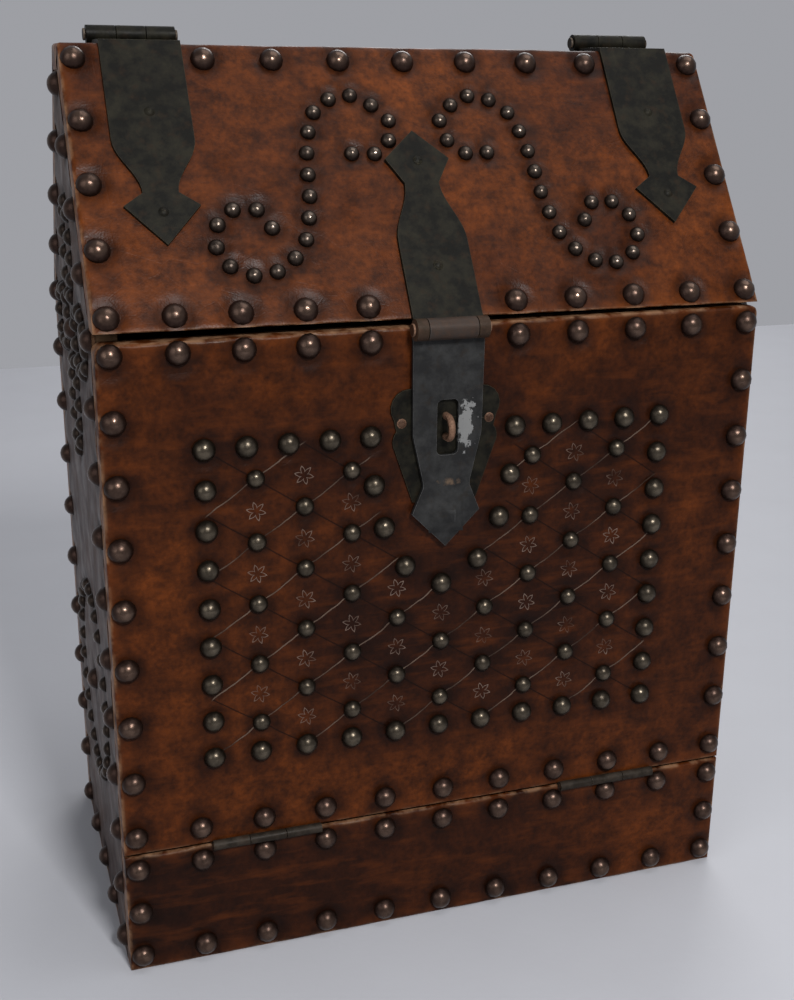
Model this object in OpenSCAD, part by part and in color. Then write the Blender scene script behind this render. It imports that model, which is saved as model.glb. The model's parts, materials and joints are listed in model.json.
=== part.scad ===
// Leather-covered wooden box with a gabled top. The front slope and the ridge are one lid, which
// swings back on two strap hinges. The front falls forward on two butt hinges, and a hasp on the
// lid drops over a staple in the front. X runs left to right, Y front to back, Z up. The origin is
// the centre of the base, on the surface that the box stands on.

/* [Box] */
// Width over the leather
box_w = 305; // [254:1:366]
// Depth over the leather
box_d = 173; // [145:1:208]
// Height to the top of the ridge
box_h = 408; // [392:1:490]
// Height of the seam between the front and the lid
seam_z = 297; // [270:1:312]
// Height of the fixed plinth under the falling front
plinth_h = 60; // [50:1:72]
// Width of the flat ridge, front to back
ridge_w = 24; // [20:1:29]
// Gap under the lid at the left end of the front
lid_gap_left = 4.5; // [0.8:0.1:6]
// Gap under the lid at the right end of the front
lid_gap_right = 1.5; // [0.8:0.1:6]

/* [Boards and leather] */
// Thickness of the boards
board_t = 9; // [7.5:0.1:11]
// Thickness of the leather
leather_t = 1.8; // [1.2:0.1:2.6]
// Radius of the front's upper corners
corner_r = 4; // [2:0.5:8]
// Clearance between a moving panel and the carcass
panel_clear = 0.3; // [0.2:0.05:0.6]
// Gap between the falling front and the plinth
plinth_gap = 1; // [0.8:0.1:1.4]

/* [Dome nails] */
// Diameter of the large border nails
large_nail_d = 11; // [9:0.1:13]
// Diameter of the nails round the lattice
lattice_nail_d = 10.2; // [8:0.1:12]
// Diameter of the nails inside the lattice
cross_nail_d = 8; // [6:0.1:9.5]
// Diameter of the small nails of the scrolls, rings and petals
small_nail_d = 7.3; // [6:0.1:8.5]
// Height of a nail's dome as a share of its diameter
dome_rise = 0.38; // [0.25:0.01:0.48]
// Diameter of a nail's shank
shank_d = 2; // [1.5:0.1:2.5]
// Depth that a nail is driven below the leather's face
shank_l = 8; // [6:0.5:9]
// Distance from a panel's edge to the middle of its border nails
border_inset = 6; // [5.6:0.1:9]
// Pitch of the border nails, rounded to fit each edge
border_pitch = 29; // [22:0.5:36]

/* [Front lattice] */
// Distance from the front's side edges to the lattice border
lattice_side = 45.5; // [35:0.5:55]
// Distance from the plinth seam up to the lattice border
lattice_bottom = 43.5; // [30:0.5:50]
// Distance from the lid seam down to the lattice border
lattice_top = 50.5; // [48:0.5:60]
// Number of lattice columns, an even number
lattice_cols = 10; // [8:2:12]
// Number of lattice rows, an even number
lattice_rows = 10; // [8:2:12]
// Pitch of the nails on the lattice's sides and top
lattice_pitch = 18; // [15:0.5:22]
// Half width of the arch of nails round the hasp
arch_half_w = 34; // [30:0.5:40]
// Depth of the arch of nails below the lattice's top
arch_depth = 71.5; // [60:0.5:80]

/* [Side patterns] */
// Height of the middle of the ring of nails
ring_z = 110; // [90:1:120]
// Radius of the ring of nails
ring_r = 47; // [35:1:52]
// Number of nails in the ring
ring_count = 26; // [18:1:28]
// Height of the middle of the four petals
petals_z = 285; // [270:1:295]
// Distance from the middle of the petals to the middle of one petal
petal_reach = 35; // [30:0.5:38]
// Half length of a petal
petal_half_l = 21.5; // [16:0.5:22]
// Half width of a petal
petal_half_w = 13; // [10:0.5:15]
// Number of nails in one petal
petal_count = 11; // [8:1:12]

/* [Lid scrolls] */
// Number of nails in each scroll
scroll_count = 23; // [18:1:26]

/* [Lid hinges] */
// Distance from the box's middle to the middle of each strap
strap_x = 118; // [95:0.5:130]
// Width of the straps
strap_w = 35; // [28:0.5:40]
// Thickness of the straps and leaves
strap_t = 1.8; // [1.2:0.1:2.4]
// Length of the left strap down the slope
left_strap_l = 96; // [80:1:108]
// Length of the right strap down the slope
right_strap_l = 92; // [80:1:108]
// Width of a strap at its neck
neck_w = 15; // [10:0.5:20]
// Width of a strap's arrow head
arrow_w = 32; // [24:0.5:38]
// Length of a strap's arrow head
arrow_l = 18; // [14:0.5:24]
// Length over which a strap widens from its neck
strap_shoulder_l = 25; // [15:0.5:30]
// Radius of the hinge barrels
hinge_r = 4; // [3.2:0.1:4.6]
// Length of the hinge barrels
hinge_l = 39; // [33:0.5:45]
// Radius of the hinge pins
hinge_pin_r = 1.6; // [1.2:0.05:2]
// Length of the fixed leaves on the back slope
back_leaf_l = 34; // [26:1:50]

/* [Hasp] */
// Place of the hasp to the right of the box's middle
hasp_x = -3; // [-12:0.5:12]
// Width of the hasp
hasp_w = 33; // [28:0.5:38]
// Thickness of the hasp's strap and flap
hasp_t = 2.1; // [1.6:0.1:2.6]
// Length of the hasp's strap up the lid
hasp_strap_l = 90; // [76:1:98]
// Width of the hasp's strap at its neck
hasp_neck_w = 16; // [10:0.5:20]
// Width of the hasp's arrow head
hasp_arrow_w = 30; // [24:0.5:34]
// Length of the hasp's arrow head
hasp_arrow_l = 14; // [12:0.5:18]
// Length over which the hasp's strap widens from its neck
hasp_shoulder_l = 28; // [20:0.5:32]
// Width of the flap at its neck
flap_neck_w = 22; // [18:0.5:26]
// Width of the flap's pointed end
flap_head_w = 32; // [26:0.5:36]
// Length of the flap below its hinge
flap_l = 99; // [84:1:108]
// Radius of the hasp's barrel
hasp_r = 4.8; // [4:0.1:5.4]
// Radius of the hasp's pin
hasp_pin_r = 1.8; // [1.4:0.05:2.2]
// Width of the slot in the flap
slot_w = 10; // [8:0.1:11]
// Height of the slot in the flap
slot_h = 25; // [24:0.5:28]
// Height of the middle of the staple below the lid seam
staple_drop = 47.5; // [44:0.5:52]
// Diameter of the staple's wire
staple_wire = 3.2; // [2.6:0.1:3.6]
// Radius of the staple's bow at the middle of its wire
staple_bow_r = 4.7; // [4.3:0.1:5.2]
// Distance that the staple stands out of the leather
staple_out = 10.5; // [9.5:0.1:11]
// Thickness of the plate under the flap
plate_t = 1.2; // [0.8:0.1:1.5]

/* [Front hinges] */
// Distance from the box's middle to the middle of each front hinge
front_hinge_x = 87; // [70:0.5:110]
// Length of the front hinges
front_hinge_l = 51; // [40:1:60]
// Radius of the front hinges' barrels
front_hinge_r = 2.3; // [2:0.05:2.6]
// Radius of the front hinges' pins
front_pin_r = 0.9; // [0.7:0.05:1.1]
// Thickness of the front hinges' leaves
leaf_t = 1.2; // [0.9:0.05:1.4]

/* [Small fixings] */
// Diameter of the heads of the iron pins
pin_head_d = 4.6; // [3.6:0.1:6]
// Height of the heads of the iron pins
pin_head_h = 1; // [0.6:0.1:1.6]
// Diameter of the iron pins' shanks
pin_d = 2.2; // [1.6:0.1:2.6]
// Radial clearance of every hinge pin in its bore
pin_fit = 0.05; // [0.02:0.01:0.1]
// Gap between two knuckles of one hinge
knuckle_gap = 0.4; // [0.3:0.05:0.8]

/* [Hidden] */
$fn = 48;
panel_t = board_t + leather_t;
slope_run = (box_d - ridge_w) / 2;
slope_rise = box_h - seam_z;
slope_a = atan2(slope_rise, slope_run);
slope_l = norm([slope_run, slope_rise]);
front_y = -box_d / 2;
// radial room round a knuckle that belongs to the other leaf
knuckle_room = 0.4;
// how far a barrel's ends stand out past the sides of its plate
barrel_proud = 0.5;
// lid hinge axis
lid_axis = [ridge_w / 2 + 1.2, box_h + hinge_r + 0.2];
// hasp hinge axis
hasp_axis = [front_y - hasp_r - 0.7, seam_z - 3.5];
// front hinge axis
front_axis = [front_y - 1.6, plinth_h];
flap_back_y = front_y - plate_t - 0.5;
staple_z = seam_z - staple_drop;
lattice_x0 = hasp_x - (box_w / 2 - lattice_side);
lattice_x1 = hasp_x + (box_w / 2 - lattice_side);
lattice_z0 = plinth_h + lattice_bottom;
lattice_z1 = seam_z - lattice_top;
// round numbers on the right-hand scroll, from its inner hook to its outer curl: [x, up the slope]
scroll_guide = [[32, 80], [18, 81], [12, 96], [28, 109], [45, 102], [52, 82], [55, 55], [62, 34],
                [80, 23], [97, 32], [94, 51], [79, 54], [73, 45]];
leather_c = "#8d4a22";
side_leather_c = "#7a4527";
wood_c = "#b08a5c";
iron_c = "#3b3a33";
rust_c = "#5c4334";
bronze_c = "#6a5444";
steel_c = "#5a564f";

// ---------- frames: local X right, local Y up the face, local Z out of the leather ----------
module on_front() { translate([0, front_y, 0]) rotate([90, 0, 0]) children(); }
module on_back() { translate([0, -front_y, 0]) rotate([90, 0, 180]) children(); }
module on_lid() { translate([0, front_y, seam_z]) rotate([slope_a, 0, 0]) children(); }
module on_back_slope() { translate([0, -front_y, seam_z]) rotate([slope_a, 0, 180]) children(); }
// side is -1 for the left and 1 for the right; local X is Y on the right and -Y on the left
module on_side(side) { translate([side * box_w / 2, 0, 0]) rotate([90, 0, side * 90]) children(); }
// a [y, z] outline run from x0 to x1
module along_x(x0, x1) { translate([x0, 0, 0]) rotate([90, 0, 90]) linear_extrude(x1 - x0) children(); }
// a rod along X with its middle at x, on an [y, z] axis
module rod(x, length, axis, r) {
    translate([x - length / 2, axis.x, axis.y]) rotate([0, 90, 0]) cylinder(r = r, h = length);
}

// an outline from its right half, listed round from one end to the other
function both_sides(right) =
    concat(right, [for (i = [len(right) - 1 : -1 : 0]) if (right[i].x > 0) [-right[i].x, right[i].y]]);

// ---------- the box's section ----------
// corners of the section, moved inwards by t
function shoulder_z(t) = seam_z - t * tan((90 - slope_a) / 2);
function ridge_y(t) = ridge_w / 2 - t * tan(slope_a / 2);
// where the slope, moved inwards by t, meets the level of the lid seam
function slope_foot_y(t) = front_y + t / sin(slope_a);
// where the back slope, moved inwards by t, meets the back slope's upright end
function slope_end_z(t) = box_h - t - (ridge_end_y - ridge_y(t)) * tan(slope_a);
ridge_end_y = ridge_w / 2;

module side_section() {
    t = panel_t + panel_clear;
    polygon([[front_y + t, 0], [-front_y - panel_t, 0], [-front_y - panel_t, shoulder_z(panel_t)],
             [ridge_end_y, slope_end_z(panel_t)], [ridge_y(t), box_h - t], [-ridge_y(t), box_h - t],
             [front_y + t, shoulder_z(t)]]);
}

module side_board(side) {
    inner = box_w / 2 - panel_t;
    color(wood_c) along_x(side > 0 ? inner : -inner - board_t, side > 0 ? inner + board_t : -inner)
        side_section();
}
module side_leather(side) {
    inner = box_w / 2 - leather_t;
    color(side_leather_c)
        along_x(side > 0 ? inner : -inner - leather_t, side > 0 ? inner + leather_t : -inner)
            side_section();
}

module bottom_board() {
    inner_w = box_w - 2 * panel_t;
    y0 = front_y + panel_t;
    color(wood_c) translate([-inner_w / 2, y0, 0]) cube([inner_w, box_d - 2 * panel_t, board_t]);
}

module back_board() {
    w = box_w - 2 * leather_t;
    color(wood_c) along_x(-w / 2, w / 2)
        polygon([[-front_y - panel_t, 0], [-front_y - leather_t, 0],
                 [-front_y - leather_t, shoulder_z(leather_t)], [-front_y - panel_t, shoulder_z(panel_t)]]);
}
module back_slope_board() {
    w = box_w - 2 * leather_t;
    color(wood_c) along_x(-w / 2, w / 2)
        polygon([[-front_y - panel_t, shoulder_z(panel_t)], [-front_y - leather_t, shoulder_z(leather_t)],
                 [ridge_end_y, slope_end_z(leather_t)], [ridge_end_y, slope_end_z(panel_t)]]);
}
// one hide over the back and the back slope, turned over the boards' ends
module back_leather() {
    color(leather_c) {
        difference() {
            along_x(-box_w / 2, box_w / 2)
                polygon([[-front_y - panel_t, 0], [-front_y, 0], [-front_y, seam_z], [ridge_end_y, box_h],
                         [ridge_end_y, slope_end_z(panel_t)], [-front_y - panel_t, shoulder_z(panel_t)]]);
            along_x(leather_t - box_w / 2, box_w / 2 - leather_t)
                polygon([[0, -1], [-front_y - leather_t, -1], [-front_y - leather_t, shoulder_z(leather_t)],
                         [ridge_end_y, slope_end_z(leather_t)], [0, slope_end_z(leather_t)]]);
        }
    }
}

module plinth_block(x, y0, y1, z1) { translate([-x, y0, 0]) cube([2 * x, y1 - y0, z1]); }
module plinth_board() {
    color(wood_c) difference() {
        plinth_block(box_w / 2 - leather_t, front_y + leather_t, front_y + panel_t, plinth_h - plinth_gap / 2);
        front_hinge_rooms();
    }
}
module plinth_leather() {
    top = plinth_h - plinth_gap / 2;
    color(leather_c) difference() {
        plinth_block(box_w / 2, front_y, front_y + panel_t, top);
        translate([0, 0, -1])
            plinth_block(box_w / 2 - leather_t, front_y + leather_t, front_y + panel_t + 1, top + 2);
        front_hinge_rooms();
    }
}

// ---------- falling front ----------
// points on an arc round c, in six steps
function arc(c, r, a0, a1) = [for (a = [a0 : (a1 - a0) / 6 : a1 + 0.01 * (a1 - a0)]) c + r * [cos(a), sin(a)]];

// the front's outline in X and Z, inside its leather's edge by t
module front_outline(t) {
    x = box_w / 2 - t;
    r = corner_r - t;
    left_z = seam_z - lid_gap_left - t;
    right_z = seam_z - lid_gap_right - t;
    polygon(concat([[-x, plinth_h + plinth_gap / 2], [x, plinth_h + plinth_gap / 2]],
                   arc([x - r, right_z - r], r, 0, 90), arc([r - x, left_z - r], r, 90, 180)));
}
module front_board() {
    color(wood_c) difference() {
        on_front() translate([0, 0, -panel_t]) linear_extrude(board_t) front_outline(leather_t);
        front_hinge_rooms();
        staple_wire_shape();
    }
}
module front_leather() {
    color(leather_c) difference() {
        on_front() translate([0, 0, -panel_t]) linear_extrude(panel_t) front_outline(0);
        on_front() translate([0, 0, -panel_t - 1]) linear_extrude(board_t + 1) front_outline(leather_t);
        // no leather is turned under the bottom edge
        translate([leather_t - box_w / 2, front_y + leather_t, plinth_h])
            cube([box_w - 2 * leather_t, panel_t, 4]);
        front_hinge_rooms();
        staple_wire_shape();
    }
}

// ---------- lid ----------
module lid_slope_board() {
    w = box_w - 2 * leather_t;
    color(wood_c) along_x(-w / 2, w / 2)
        polygon([[slope_foot_y(leather_t), seam_z], [slope_foot_y(panel_t), seam_z],
                 [-ridge_y(panel_t), box_h - panel_t], [-ridge_y(leather_t), box_h - leather_t]]);
}
module lid_ridge_board() {
    w = box_w - 2 * leather_t;
    end_y = ridge_end_y - panel_clear;
    color(wood_c) along_x(-w / 2, w / 2)
        polygon([[-ridge_y(leather_t), box_h - leather_t], [-ridge_y(panel_t), box_h - panel_t],
                 [end_y, box_h - panel_t], [end_y, box_h - leather_t]]);
}
module lid_leather() {
    end_y = ridge_end_y - panel_clear;
    color(leather_c) difference() {
        along_x(-box_w / 2, box_w / 2)
            polygon([[front_y, seam_z], [slope_foot_y(panel_t), seam_z], [-ridge_y(panel_t), box_h - panel_t],
                     [end_y, box_h - panel_t], [end_y, box_h], [-ridge_w / 2, box_h]]);
        along_x(leather_t - box_w / 2, box_w / 2 - leather_t)
            polygon([[slope_foot_y(leather_t), seam_z], [slope_foot_y(leather_t), seam_z - 1],
                     [end_y + 1, seam_z - 1], [end_y + 1, box_h - leather_t],
                     [-ridge_y(leather_t), box_h - leather_t]]);
    }
}

// ---------- dome nails ----------
module nail(d) {
    h = d * dome_rise;
    r = (d * d / 4 + h * h) / (2 * h);
    rotate_extrude() intersection() {
        translate([0, h - r]) circle(r = r);
        square([d, h]);
    }
    translate([0, 0, -shank_l]) cylinder(d = shank_d, h = shank_l);
}
module nails(points, d) { for (p = points) translate([p.x, p.y, 0]) nail(d); }

// places from a to b, both ends included, as near the pitch as fits
function spread(a, b, pitch) =
    let (n = max(1, round(abs(b - a) / pitch))) [for (i = [0 : n]) a + (b - a) * i / n];
function row(a, b, y, pitch) = [for (x = spread(a, b, pitch)) [x, y]];
// a row with a gap for the hasp, half_gap on each side of it
function split_row(x, y, half_gap, pitch) =
    concat(row(-x, hasp_x - half_gap, y, pitch), row(hasp_x + half_gap, x, y, pitch));
// both upright edges without their corner nails
function columns(x, y0, y1, pitch) =
    let (ys = spread(y0, y1, pitch)) [for (s = [-1, 1], i = [1 : len(ys) - 2]) [s * x, ys[i]]];

border_x = box_w / 2 - border_inset;

module plinth_nails() {
    y0 = border_inset + 1.5;
    // the domes' edges stop just under the round of the hinge barrels
    y1 = plinth_h - front_hinge_r - large_nail_d / 2 + 0.3;
    color(bronze_c) on_front() nails(concat(row(-border_x, border_x, y0, border_pitch),
        row(-border_x, border_x, y1, border_pitch), columns(border_x, y0, y1, border_pitch)), large_nail_d);
}
module front_border_nails() {
    y0 = plinth_h + border_inset + 3;
    y1 = seam_z - border_inset - 3;
    color(bronze_c) on_front() nails(concat(row(-border_x, border_x, y0, border_pitch),
        split_row(border_x, y1, arch_half_w, border_pitch),
        columns(border_x, y0, y1, border_pitch)), large_nail_d);
}
module lid_border_nails() {
    y0 = border_inset + 1;
    y1 = slope_l - border_inset - 1;
    between = strap_x - strap_w / 2 - large_nail_d / 2 - 3.5;
    color(bronze_c) on_lid() nails(concat(split_row(border_x, y0, arch_half_w, border_pitch),
        row(-between, between, y1, border_pitch), [[-border_x, y1], [border_x, y1]],
        columns(border_x, y0, y1, border_pitch)), large_nail_d);
}
module back_nails() {
    y0 = border_inset + 1.5;
    y1 = seam_z - border_inset - 3;
    color(bronze_c) on_back() nails(concat(row(-border_x, border_x, y0, border_pitch),
        row(-border_x, border_x, y1, border_pitch), columns(border_x, y0, y1, border_pitch)), large_nail_d);
}
module back_slope_nails() {
    y0 = border_inset + 3;
    // the shanks stay inside the upright end of the board
    y1 = slope_l - (shank_l * sin(slope_a) + shank_d) / cos(slope_a);
    between = strap_x - hinge_l / 2 - large_nail_d / 2 - 3.5;
    color(bronze_c) on_back_slope() nails(concat(row(-border_x, border_x, y0, border_pitch),
        row(-between, between, y1, border_pitch), [[-border_x, y1], [border_x, y1]],
        columns(border_x, y0, y1, border_pitch)), large_nail_d);
}

// the lattice: nails on a rectangle, and at every second crossing inside it
function in_arch(p, grow) =
    pow((p.x - hasp_x) / arch_half_w, 2) + pow((lattice_z1 - p.y) / arch_depth, 2) < grow;
function crossing(i, k) = [lattice_x0 + (lattice_x1 - lattice_x0) * i / lattice_cols,
                           lattice_z0 + (lattice_z1 - lattice_z0) * k / lattice_rows];
// angles down from the lattice's top that keep the arch's nails evenly apart
arch_angles = [18, 36, 59, 90, 121, 144, 162];
module lattice_border_nails() {
    side_ys = spread(lattice_z0, lattice_z1, lattice_pitch);
    color(steel_c) on_front() nails(concat([for (i = [0 : lattice_cols]) crossing(i, 0)],
        row(lattice_x0, hasp_x - arch_half_w, lattice_z1, lattice_pitch),
        row(hasp_x + arch_half_w, lattice_x1, lattice_z1, lattice_pitch),
        [for (x = [lattice_x0, lattice_x1], i = [1 : len(side_ys) - 2]) [x, side_ys[i]]],
        [for (a = arch_angles) [hasp_x - arch_half_w * cos(a), lattice_z1 - arch_depth * sin(a)]]),
        lattice_nail_d);
}
module lattice_cross_nails() {
    color(steel_c) on_front() nails([for (i = [1 : lattice_cols - 1], k = [1 : lattice_rows - 1])
        let (p = crossing(i, k)) if ((i + k) % 2 == 0 && !in_arch(p, 1.25)) p], cross_nail_d);
}

// a smooth curve through the guide points, cut into short steps
function guide(i) = scroll_guide[min(max(i, 0), len(scroll_guide) - 1)];
function on_curve(i, t) = let (a = guide(i - 1), b = guide(i), c = guide(i + 1), d = guide(i + 2))
    (2 * b + (c - a) * t + (2 * a - 5 * b + 4 * c - d) * t * t + (3 * b - a - 3 * c + d) * t * t * t) / 2;
curve_steps = 12;
curve = concat([for (i = [0 : len(scroll_guide) - 2], s = [0 : curve_steps - 1]) on_curve(i, s / curve_steps)],
               [guide(len(scroll_guide) - 1)]);
// distance along the curve to each of its points
function run_length(k) = k == 0 ? [0] :
    let (before = run_length(k - 1)) concat(before, [before[k - 1] + norm(curve[k] - curve[k - 1])]);
run = run_length(len(curve) - 1);
function at_length(s) = let (k = len([for (l = run) if (l < s) l]))
    k == 0 ? curve[0] : curve[k - 1] + (curve[k] - curve[k - 1]) * (s - run[k - 1]) / (run[k] - run[k - 1]);
module scroll_nails(side) {
    color(bronze_c) on_lid() nails([for (n = [0 : scroll_count - 1])
        let (p = at_length(run[len(run) - 1] * n / (scroll_count - 1))) [side * p.x, p.y]], small_nail_d);
}

// side border: round the side's own edge, which lies behind the overlaid front and lid
module side_nails(side) {
    inset = panel_t + border_inset;
    y = -front_y - inset;
    top_z = shoulder_z(inset);
    ridge = box_h - inset;
    bottom_z = border_inset + 3;
    slope_steps = spread(0, norm([y - ridge_y(inset), ridge - top_z]), border_pitch);
    n = len(slope_steps) - 1;
    slope_points = [for (s = [-1, 1], i = [0 : n])
        [s * (y + (ridge_y(inset) - y) * i / n), top_z + (ridge - top_z) * i / n]];
    along = spread(bottom_z, top_z, border_pitch);
    points = concat(row(-y, y, bottom_z, 35), [for (s = [-1, 1], i = [1 : len(along) - 2]) [s * y, along[i]]],
        [for (p = slope_points) if (p.y < ridge - 0.1) p], [[0, ridge]], [[0, ring_z], [0, petals_z]]);
    color(bronze_c) on_side(side) nails([for (p = points) [side * p.x, p.y]], large_nail_d);
}
module ring_nails(side) {
    color(bronze_c) on_side(side) nails([for (i = [0 : ring_count - 1])
        let (a = 90 + 360 * i / ring_count) [ring_r * cos(a), ring_z + ring_r * sin(a)]], small_nail_d);
}
// nails on an ellipse, evened out by a small shift of the angle
module petal_nails(side) {
    color(bronze_c) on_side(side) for (turn = [0 : 90 : 270]) translate([0, petals_z, 0]) rotate([0, 0, turn])
        nails([for (i = [0 : petal_count - 1]) let (a = 360 * i / petal_count, e = a + 7 * sin(2 * a))
            [petal_reach + petal_half_l * cos(e), petal_half_w * sin(e)]], small_nail_d);
}

// ---------- iron pins ----------
// a pin whose head lies at height z above the leather's face
module pin(z) {
    r = (pin_head_d * pin_head_d / 4 + pin_head_h * pin_head_h) / (2 * pin_head_h);
    translate([0, 0, z]) rotate_extrude() intersection() {
        translate([0, pin_head_h - r]) circle(r = r);
        square([pin_head_d, pin_head_h]);
    }
    translate([0, 0, -shank_l]) cylinder(d = pin_d, h = shank_l + z);
}
module pin_holes(points, depth) {
    for (p = points) translate([p.x, p.y, -1]) cylinder(d = pin_d + 2 * pin_fit, h = depth + 2);
}

// ---------- lid hinges ----------
knuckle_l = (hinge_l - 2 * knuckle_gap) / 3;
// distance up the lid from the seam to a strap's point, and to its two pins
function strap_tip(side) = slope_l - (side < 0 ? left_strap_l : right_strap_l);
function strap_pin_us(side) = [slope_l - 34, strap_tip(side) + arrow_l - 3];

// from a to b along half a cosine wave, as t goes from 0 to 1
function eased(a, b, t) = a + (b - a) * (1 - cos(180 * t)) / 2;
// an arrow head at the origin, a neck, a widening shoulder, and then the full width as far as end
module strap_outline(full_w, neck_width, head_w, head_l, neck, shoulder_l, end) {
    steps = 10;
    right = concat([[0, 0], [head_w / 2, head_l], [neck_width / 2, neck]],
        [for (i = [1 : steps]) [eased(neck_width, full_w, i / steps) / 2, neck + shoulder_l * i / steps]],
        [[full_w / 2, end]]);
    polygon(both_sides(right));
}
module lid_strap(side) {
    tip = strap_tip(side);
    lap = 6;
    down = lap * [-cos(slope_a), -sin(slope_a)];
    inner_edge = [-ridge_w / 2, box_h];
    outer_edge = [-ridge_y(-strap_t), box_h + strap_t];
    color(iron_c) difference() {
        union() {
            on_lid() translate([side * strap_x, tip, 0]) linear_extrude(strap_t)
                strap_outline(strap_w, neck_w, arrow_w, arrow_l, arrow_l + 6, strap_shoulder_l, slope_l - tip);
            // over the ridge, mitred round its front edge
            along_x(side * strap_x - strap_w / 2, side * strap_x + strap_w / 2)
                polygon([inner_edge, [lid_axis.x, box_h], [lid_axis.x, box_h + strap_t], outer_edge,
                         outer_edge + down, inner_edge + down]);
            rod(side * strap_x, knuckle_l, lid_axis, hinge_r);
        }
        for (s = [-1, 1])
            rod(side * strap_x + s * (knuckle_l + knuckle_gap), knuckle_l + knuckle_gap,
                lid_axis, hinge_r + knuckle_room);
        rod(side * strap_x, hinge_l, lid_axis, hinge_pin_r + pin_fit);
        on_lid() pin_holes([for (u = strap_pin_us(side)) [side * strap_x, u]], strap_t);
    }
}
module back_leaf(side) {
    color(iron_c) difference() {
        union() {
            on_back_slope() translate([barrel_proud - side * strap_x - hinge_l / 2, slope_l - back_leaf_l, 0])
                cube([hinge_l - 2 * barrel_proud, back_leaf_l + 2, strap_t]);
            for (s = [-1, 1])
                rod(side * strap_x + s * (knuckle_l + knuckle_gap), knuckle_l, lid_axis, hinge_r);
        }
        // the leaf stops short of the lid's knuckle and of the ridge strip in front of it
        rod(side * strap_x, knuckle_l + 2 * knuckle_gap, lid_axis, hinge_r + knuckle_room);
        rod(side * strap_x, hinge_l + 2, lid_axis, hinge_pin_r + pin_fit);
        on_back_slope() pin_holes(leaf_pin_points(-side), strap_t);
    }
}
function leaf_pin_points(side) = [for (s = [-1, 1]) [side * strap_x + s * hinge_l / 4, slope_l - back_leaf_l + 7]];
module lid_hinge_pin(side) {
    color(rust_c) {
        rod(side * strap_x, hinge_l + 1, lid_axis, hinge_pin_r);
        for (s = [-1, 1]) rod(side * strap_x + s * (hinge_l / 2 + 0.8), 1, lid_axis, hinge_pin_r + 1);
    }
}
module lid_strap_pins() {
    color(iron_c) on_lid() for (side = [-1, 1], u = strap_pin_us(side))
        translate([side * strap_x, u, 0]) pin(strap_t);
}
module back_leaf_pins() {
    color(iron_c) on_back_slope() for (side = [-1, 1], p = leaf_pin_points(side))
        translate([p.x, p.y, 0]) pin(strap_t);
}

// ---------- hasp ----------
hasp_end_l = 5;
hasp_mid_l = hasp_w - 2 * hasp_end_l - 2 * knuckle_gap;
hasp_pin_points = [[hasp_x, hasp_strap_l - 15], [hasp_x, 24]];
module hasp_strap() {
    // the plate runs past the lid's lower edge into the barrel
    below = 9;
    color(iron_c) difference() {
        union() {
            on_lid() translate([hasp_x, hasp_strap_l, 0]) linear_extrude(hasp_t) mirror([0, 1, 0])
                strap_outline(hasp_w - 2 * barrel_proud, hasp_neck_w, hasp_arrow_w, hasp_arrow_l,
                              hasp_arrow_l + 12, hasp_shoulder_l, hasp_strap_l + below);
            for (s = [-1, 1]) rod(hasp_x + s * (hasp_w - hasp_end_l) / 2, hasp_end_l, hasp_axis, hasp_r);
        }
        // below the lid's edge only the two end knuckles go on
        translate([hasp_x - hasp_w, front_y - 30, seam_z - 40]) cube([2 * hasp_w, 60, 40 - hasp_r - 3.5]);
        rod(hasp_x, hasp_mid_l + 2 * knuckle_gap, hasp_axis, hasp_r + knuckle_room);
        rod(hasp_x, hasp_w + 2, hasp_axis, hasp_pin_r + pin_fit);
        on_lid() pin_holes(hasp_pin_points, hasp_t);
    }
}
module hasp_strap_pins() {
    color(iron_c) on_lid() for (p = hasp_pin_points) translate([p.x, p.y, 0]) pin(hasp_t);
}
module hasp_hinge_pin() {
    color(rust_c) {
        rod(hasp_x, hasp_w + 1, hasp_axis, hasp_pin_r);
        for (s = [-1, 1]) rod(hasp_x + s * (hasp_w / 2 + 0.8), 1, hasp_axis, hasp_pin_r + 1);
    }
}
flap_tip_z = hasp_axis.y - flap_l;
module hasp_flap() {
    // half widths down the flap: plain, tapered to the neck, then the pointed end
    right = [[hasp_w / 2, hasp_axis.y], [hasp_w / 2 - 0.5, flap_tip_z + 52], [flap_neck_w / 2, flap_tip_z + 30],
             [flap_neck_w / 2, flap_tip_z + 28], [flap_head_w / 2, flap_tip_z + 16], [0, flap_tip_z]];
    color(iron_c) difference() {
        union() {
            translate([hasp_x, flap_back_y, 0]) rotate([90, 0, 0]) linear_extrude(hasp_t)
                polygon(both_sides(right));
            rod(hasp_x, hasp_mid_l, hasp_axis, hasp_r);
            // the point is a low four-sided boss
            translate([hasp_x, flap_back_y - hasp_t, flap_tip_z + 15]) rotate([90, 0, 0])
                rotate([0, 0, 45]) cylinder(r1 = 11.5, r2 = 4, h = 2.2, $fn = 4);
        }
        for (s = [-1, 1])
            rod(hasp_x + s * (hasp_w - hasp_end_l) / 2, hasp_end_l + 2 * knuckle_gap,
                hasp_axis, hasp_r + knuckle_room);
        rod(hasp_x, hasp_w, hasp_axis, hasp_pin_r + pin_fit);
        // slot for the staple, with round corners
        corner = slot_w / 4;
        translate([hasp_x, front_y, staple_z]) rotate([90, 0, 0]) {
            translate([-slot_w / 2, corner - slot_h / 2, 0]) cube([slot_w, slot_h - 2 * corner, 20]);
            translate([corner - slot_w / 2, -slot_h / 2, 0]) cube([slot_w - 2 * corner, slot_h, 20]);
            for (sx = [-1, 1], sz = [-1, 1])
                translate([sx * (slot_w / 2 - corner), sz * (slot_h / 2 - corner), 0])
                    cylinder(r = corner, h = 20);
        }
    }
}

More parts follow.
